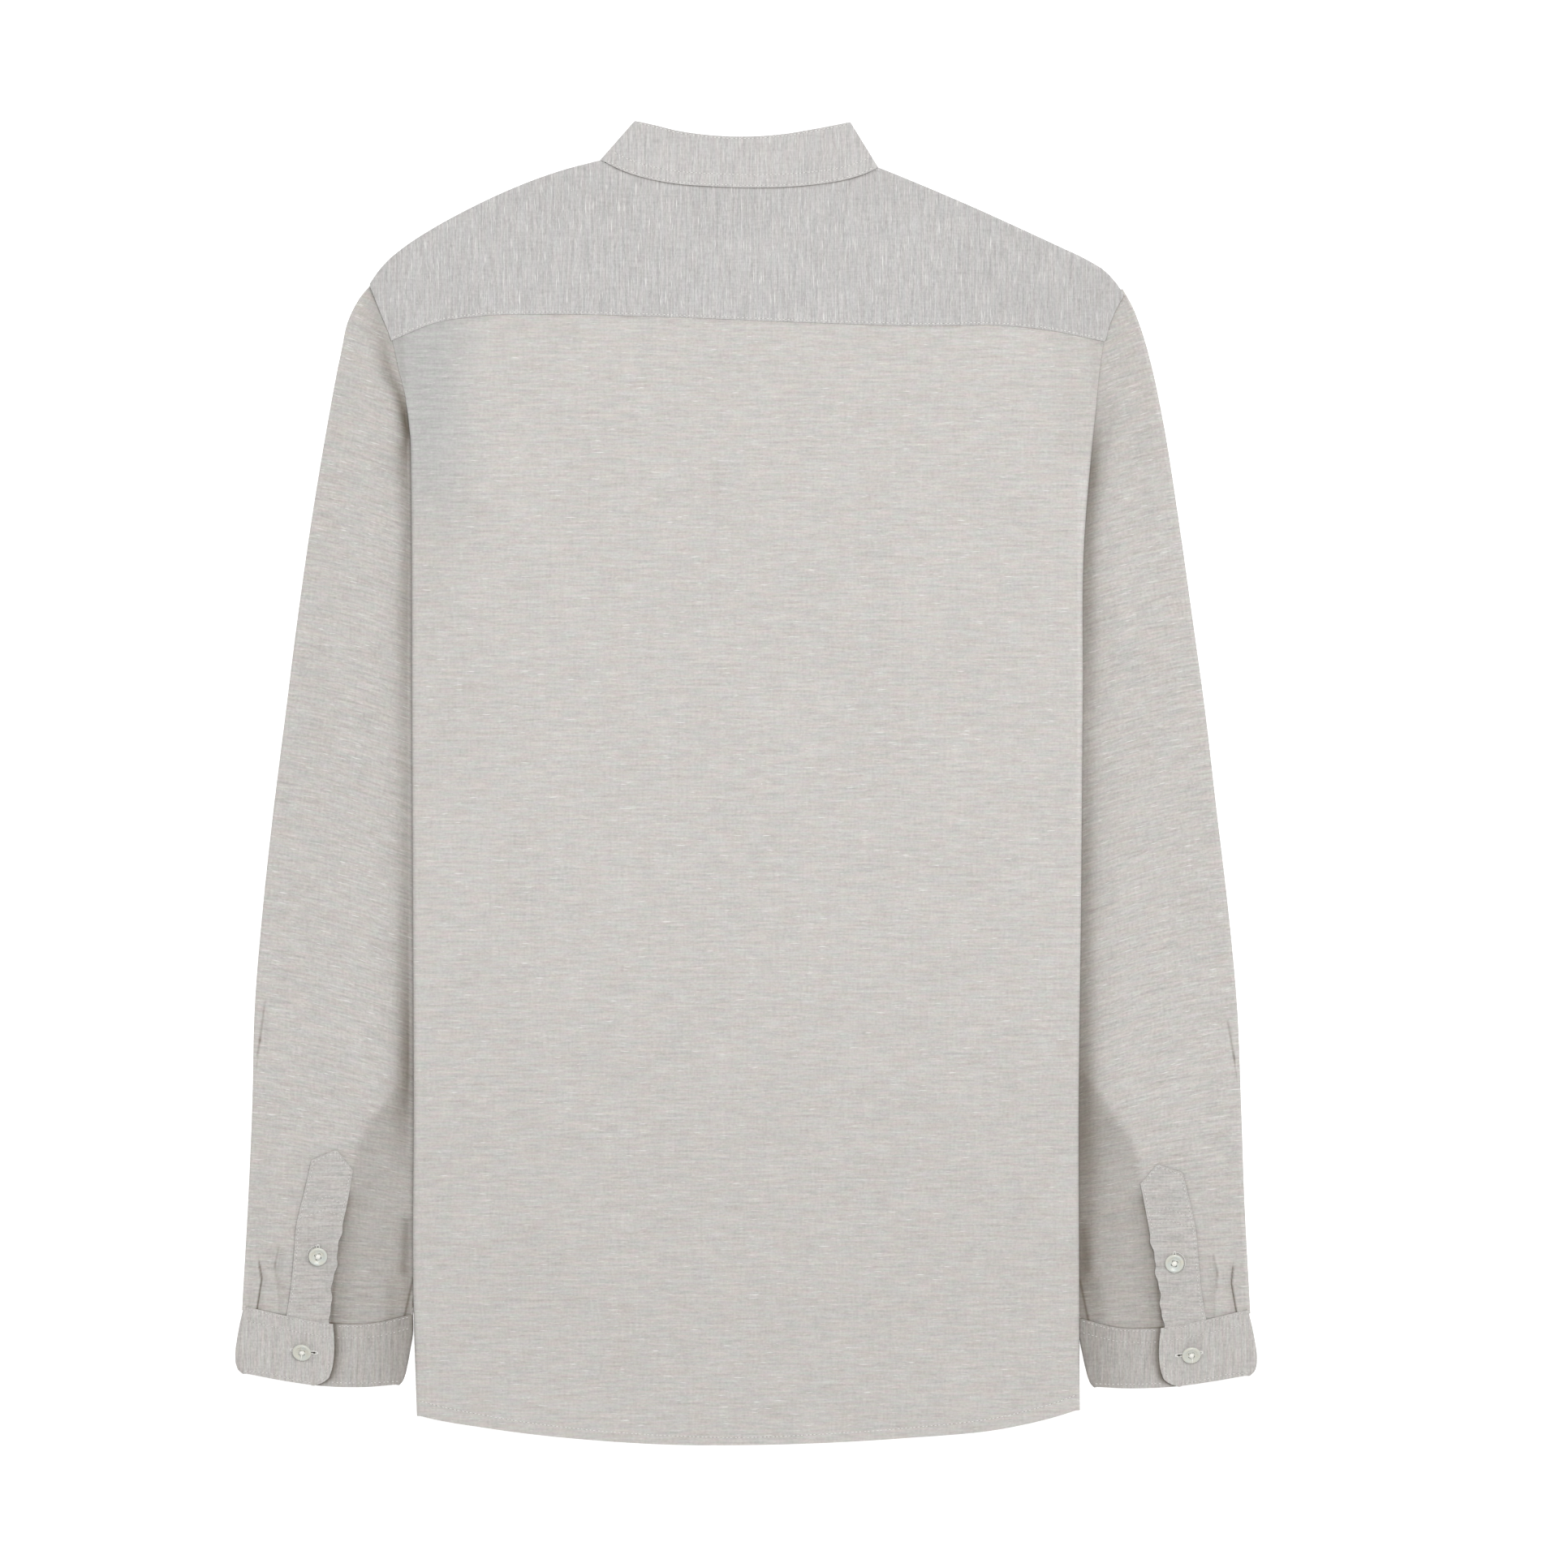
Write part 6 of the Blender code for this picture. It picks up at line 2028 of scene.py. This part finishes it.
class SHIRT_OT_buttonholes(bpy.types.Operator):
    """Works the buttonholes of the cuffs, gauntlets, placket and collar"""

    bl_idname = "shirt.buttonholes"
    bl_label = "Buttonholes"

    def execute(self, context):
        sewing = context.scene.shirt_thread
        cotton = material("sewing_thread", thread_material, tuple(sewing.colour))
        slit = material("slit_shadow", painted_shadow_material, (0.06, 0.055, 0.05))
        holes = []
        for side, way in SIDES.items():
            x, y = CUFF_BUTTONS[side]
            at = (x - way * 1.1, y, CUFF_LEVELS["lap"] + BAND / 2 + 0.12)
            holes.append(("cuff_" + side, at, (-way, -0.12, 0.0), UP))
            x, y = GAUNTLET_BUTTONS[side]
            at = (x, y + 0.5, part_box("button_gauntlet_" + side)[0].z / MM - 0.1)
            holes.append(("gauntlet_" + side, at, (0.0, 1.0, 0.0), UP))
        for number, y in enumerate(FRONT_BUTTONS, 1):
            at = (0.0, y - 1.5, MIDDLE_LEVELS["placket"][3] - CLOTH / 2 - 0.03)
            holes.append((f"front_{number}", at, (0.0, 1.0, 0.0), -UP))
        x, y = COLLAR_BUTTON
        at = (x + 1.5, y, COLLAR_ENDS["left"] - BAND / 2 - 0.03)
        holes.append(("collar", at, (1.0, 0.0, 0.0), -UP))
        for name, centre, along, normal in holes:
            length = BUTTONHOLES[name.split("_")[0]]
            self.hole(name, np.array(centre), np.array(along), normal, length, cotton, slit)
        return {"FINISHED"}

    def hole(self, name, centre, along, normal, length, cotton, slit):
        """Two close rows of stitches, a bar at each end, and the slit as a dark painted shadow,
        open at one end.
        """
        along = along / np.linalg.norm(along)
        across = np.cross(normal, along)
        thread = Thread()
        for way in (-1, 1):
            row, end = centre + across * way * 0.72, centre + along * way * (length / 2 - 0.4)
            thread.bar(row, along, normal, length=length - 1.6, width=1.1, count=26)
            thread.bar(end, along, normal, length=0.9, width=2.7, count=2)
        thread.finish("buttonhole_" + name, cotton)
        gap_shadow = Thread()
        # The slit and its open end are dark drops: painted shadow.
        gap_shadow.stitch(centre + normal * 0.02, along, normal, length=length - 1.8, width=0.45)
        eye = centre + along * (length / 2 - 2.3) + normal * 0.14
        gap_shadow.stitch(eye, along, normal, length=1.7, width=1.25)
        gap_shadow.finish("slit_" + name, slit)


# A button's outline from the middle of its foot round to that of its dish, by radius and height.
BUTTON_OUTLINE = (
    (0.0, 0.06),
    (0.72, 0.0),
    (0.9, 0.12),
    (0.985, 0.36),
    (1.0, 0.58),
    (0.985, 0.8),
    (0.94, 0.94),
    (0.86, 1.0),
    (0.76, 0.96),
    (0.68, 0.84),
    (0.6, 0.66),
    (0.52, 0.58),
    (0.4, 0.56),
    (0.0, 0.56),
)
BUTTON_SIDES = 48
# Where a button's holes are, from its middle.
HOLES = [(x, y) for x in (-1.2, 1.2) for y in (-1.2, 1.2)]


class SHIRT_OT_buttons(bpy.types.Operator):
    """Turns the buttons and sews them on"""

    bl_idname = "shirt.buttons"
    bl_label = "Buttons"

    def execute(self, context):
        size = context.scene.shirt_buttons
        shell = material("button_pearl", pearl, tuple(size.colour))
        cotton = material("button_thread", thread_material, tuple(size.thread_colour))
        template = self.turned(size)
        for node, middle, facing, turn, tilt in self.places(size):
            place = Matrix.Translation(Vector(middle) * MM)
            place = place @ Matrix.Rotation(0.0 if facing > 0 else math.pi, 4, "X")
            place = place @ Matrix.Rotation(turn, 4, "Z") @ Matrix.Rotation(tilt, 4, "X")
            mesh = template.copy()
            mesh.name = node + "_pearl"
            mesh.transform(place)
            mesh.materials.clear()
            mesh.materials.append(shell)
            piece = bpy.data.objects.new(node + "_pearl", mesh)
            context.scene.collection.objects.link(piece)
            keep(piece, node)
            self.thread(node, place, size, cotton, node.startswith("button_cuff"))
        return {"FINISHED"}

    def places(self, size):
        """Each button's node, the middle of its foot, its facing, its turn and how far it leans."""
        height, radius = size.height / MM, size.width / MM / 2
        places = [("button_collar", (*COLLAR_BUTTON, height), -1, 0.4, 0.0)]
        for number, y in enumerate(FRONT_BUTTONS):
            places.append((f"button_front_{number + 1}", (0.0, y, height), -1, 0.9 * number, 0.0))
        for side, way in SIDES.items():
            for kind, spot, turn, tilt in (
                ("button_cuff_", CUFF_BUTTONS[side], way * 0.17, CUFF_BUTTON_TILT),
                ("button_gauntlet_", GAUNTLET_BUTTONS[side], -way * 0.3, GAUNTLET_BUTTON_TILT),
            ):
                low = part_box(kind + side)[0].z / MM + 0.7 * radius * math.sin(tilt)
                places.append((kind + side, (*spot, low), 1, turn, tilt))
        return places

    def turned(self, size):
        """A button with a rounded rim, a sunk middle and four holes."""
        radius, height = size.width / 2, size.height
        bm = bmesh.new()
        verts = [bm.verts.new((out * radius, 0.0, up * height)) for out, up in BUTTON_OUTLINE]
        edges = [bm.edges.new(pair) for pair in zip(verts, verts[1:])]
        bmesh.ops.spin(
            bm,
            geom=verts + edges,
            axis=(0, 0, 1),
            cent=(0, 0, 0),
            angle=2 * math.pi,
            steps=BUTTON_SIDES,
            use_merge=True,
        )
        bmesh.ops.remove_doubles(bm, verts=bm.verts, dist=1e-6)
        bmesh.ops.recalc_face_normals(bm, faces=bm.faces)
        disc = self.loose("button", bm)
        bm = bmesh.new()
        shape = {"segments": 14, "radius1": size.hole / 2, "radius2": size.hole / 2, "depth": 0.01}
        for x, y in HOLES:
            at = Matrix.Translation((x * MM, y * MM, height / 2))
            bmesh.ops.create_cone(bm, cap_ends=True, matrix=at, **shape)
        holes = self.loose("holes", bm)
        cut = disc.modifiers.new("Holes", "BOOLEAN")
        cut.operation = "DIFFERENCE"
        cut.solver = "EXACT"
        cut.object = holes
        settle(disc)
        mesh = disc.data
        mesh.shade_smooth()
        mesh.set_sharp_from_angle(angle=BUTTON_SHARP)
        for piece in (disc, holes):
            bpy.data.objects.remove(piece)
        return mesh

    def loose(self, name, bm):
        mesh = bpy.data.meshes.new(name)
        bm.to_mesh(mesh)
        bm.free()
        piece = bpy.data.objects.new(name, mesh)
        bpy.context.scene.collection.objects.link(piece)
        return piece

    def thread(self, node, place, size, cotton, stray):
        """A knot of passes over the holes, the shank below, and perhaps a strand out to the rim."""
        thread = Thread()
        height, radius = size.height / MM, size.width / MM / 2
        for number in range(6):
            angle = number * math.pi / 6 + 0.2
            way = np.array([math.cos(angle), math.sin(angle), 0.0])
            centre = np.array([0.0, 0.0, (0.72 + 0.035 * number) * height])
            thread.stitch(centre, way, UP, length=4.5 - 0.2 * number, width=1.35)
        if stray:
            centre = np.array([0.15, -0.52 * radius, height])
            down = np.array([0.0, -1.0, 0.0])
            thread.stitch(centre, down, UP, length=1.05 * radius, width=0.75)
        for x, y in HOLES:
            centre, side = np.array([x, y, 0.3 * height]), np.array([1.0, 0.0, 0.0])
            thread.stitch(centre, UP, side, length=1.1 * height, width=0.9)
        piece = thread.finish("thread_" + node, cotton)
        piece.data.transform(place)


# The add-on --------------------------------------------------------------------------------------


STEPS = ["stage", "back", "fronts", "yoke", "collar", "sleeves", "cuffs"]
STEPS += ["stitching", "buttonholes", "buttons"]


class SHIRT_PT_panel(bpy.types.Panel):
    """Lists the shirt's settings and pieces"""

    bl_label = "Mandarin Collar Shirt"
    bl_idname = "SHIRT_PT_panel"
    bl_space_type = "VIEW_3D"
    bl_region_type = "UI"
    bl_category = "Shirt"

    def draw(self, context):
        for name in ("shirt_linen", "shirt_thread", "shirt_buttons", "shirt_stage"):
            group = getattr(context.scene, name)
            box = self.layout.box()
            for setting in group.__annotations__:
                box.prop(group, setting)
        for name in STEPS:
            self.layout.operator("shirt." + name)


GROUPS = {
    "shirt_linen": ShirtLinen,
    "shirt_thread": ShirtThread,
    "shirt_buttons": ShirtButtons,
    "shirt_stage": ShirtStage,
}
CLASSES = (
    *GROUPS.values(),
    SHIRT_OT_stage,
    SHIRT_OT_back,
    SHIRT_OT_fronts,
    SHIRT_OT_yoke,
    SHIRT_OT_collar,
    SHIRT_OT_sleeves,
    SHIRT_OT_cuffs,
    SHIRT_OT_stitching,
    SHIRT_OT_buttonholes,
    SHIRT_OT_buttons,
    SHIRT_PT_panel,
)


def register():
    for kind in CLASSES:
        bpy.utils.register_class(kind)
    for name, group in GROUPS.items():
        setattr(bpy.types.Scene, name, bpy.props.PointerProperty(type=group))


def unregister():
    for name in GROUPS:
        delattr(bpy.types.Scene, name)
    for kind in reversed(CLASSES):
        bpy.utils.unregister_class(kind)


def main():
    register()
    for name in STEPS:
        getattr(bpy.ops.shirt, name)()
    boxes = {"solids": SOLIDS_BOX, "dressed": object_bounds()}
    sizes = {name: [list(corner) for corner in box] for name, box in boxes.items()}


if __name__ == "__main__":
    main()
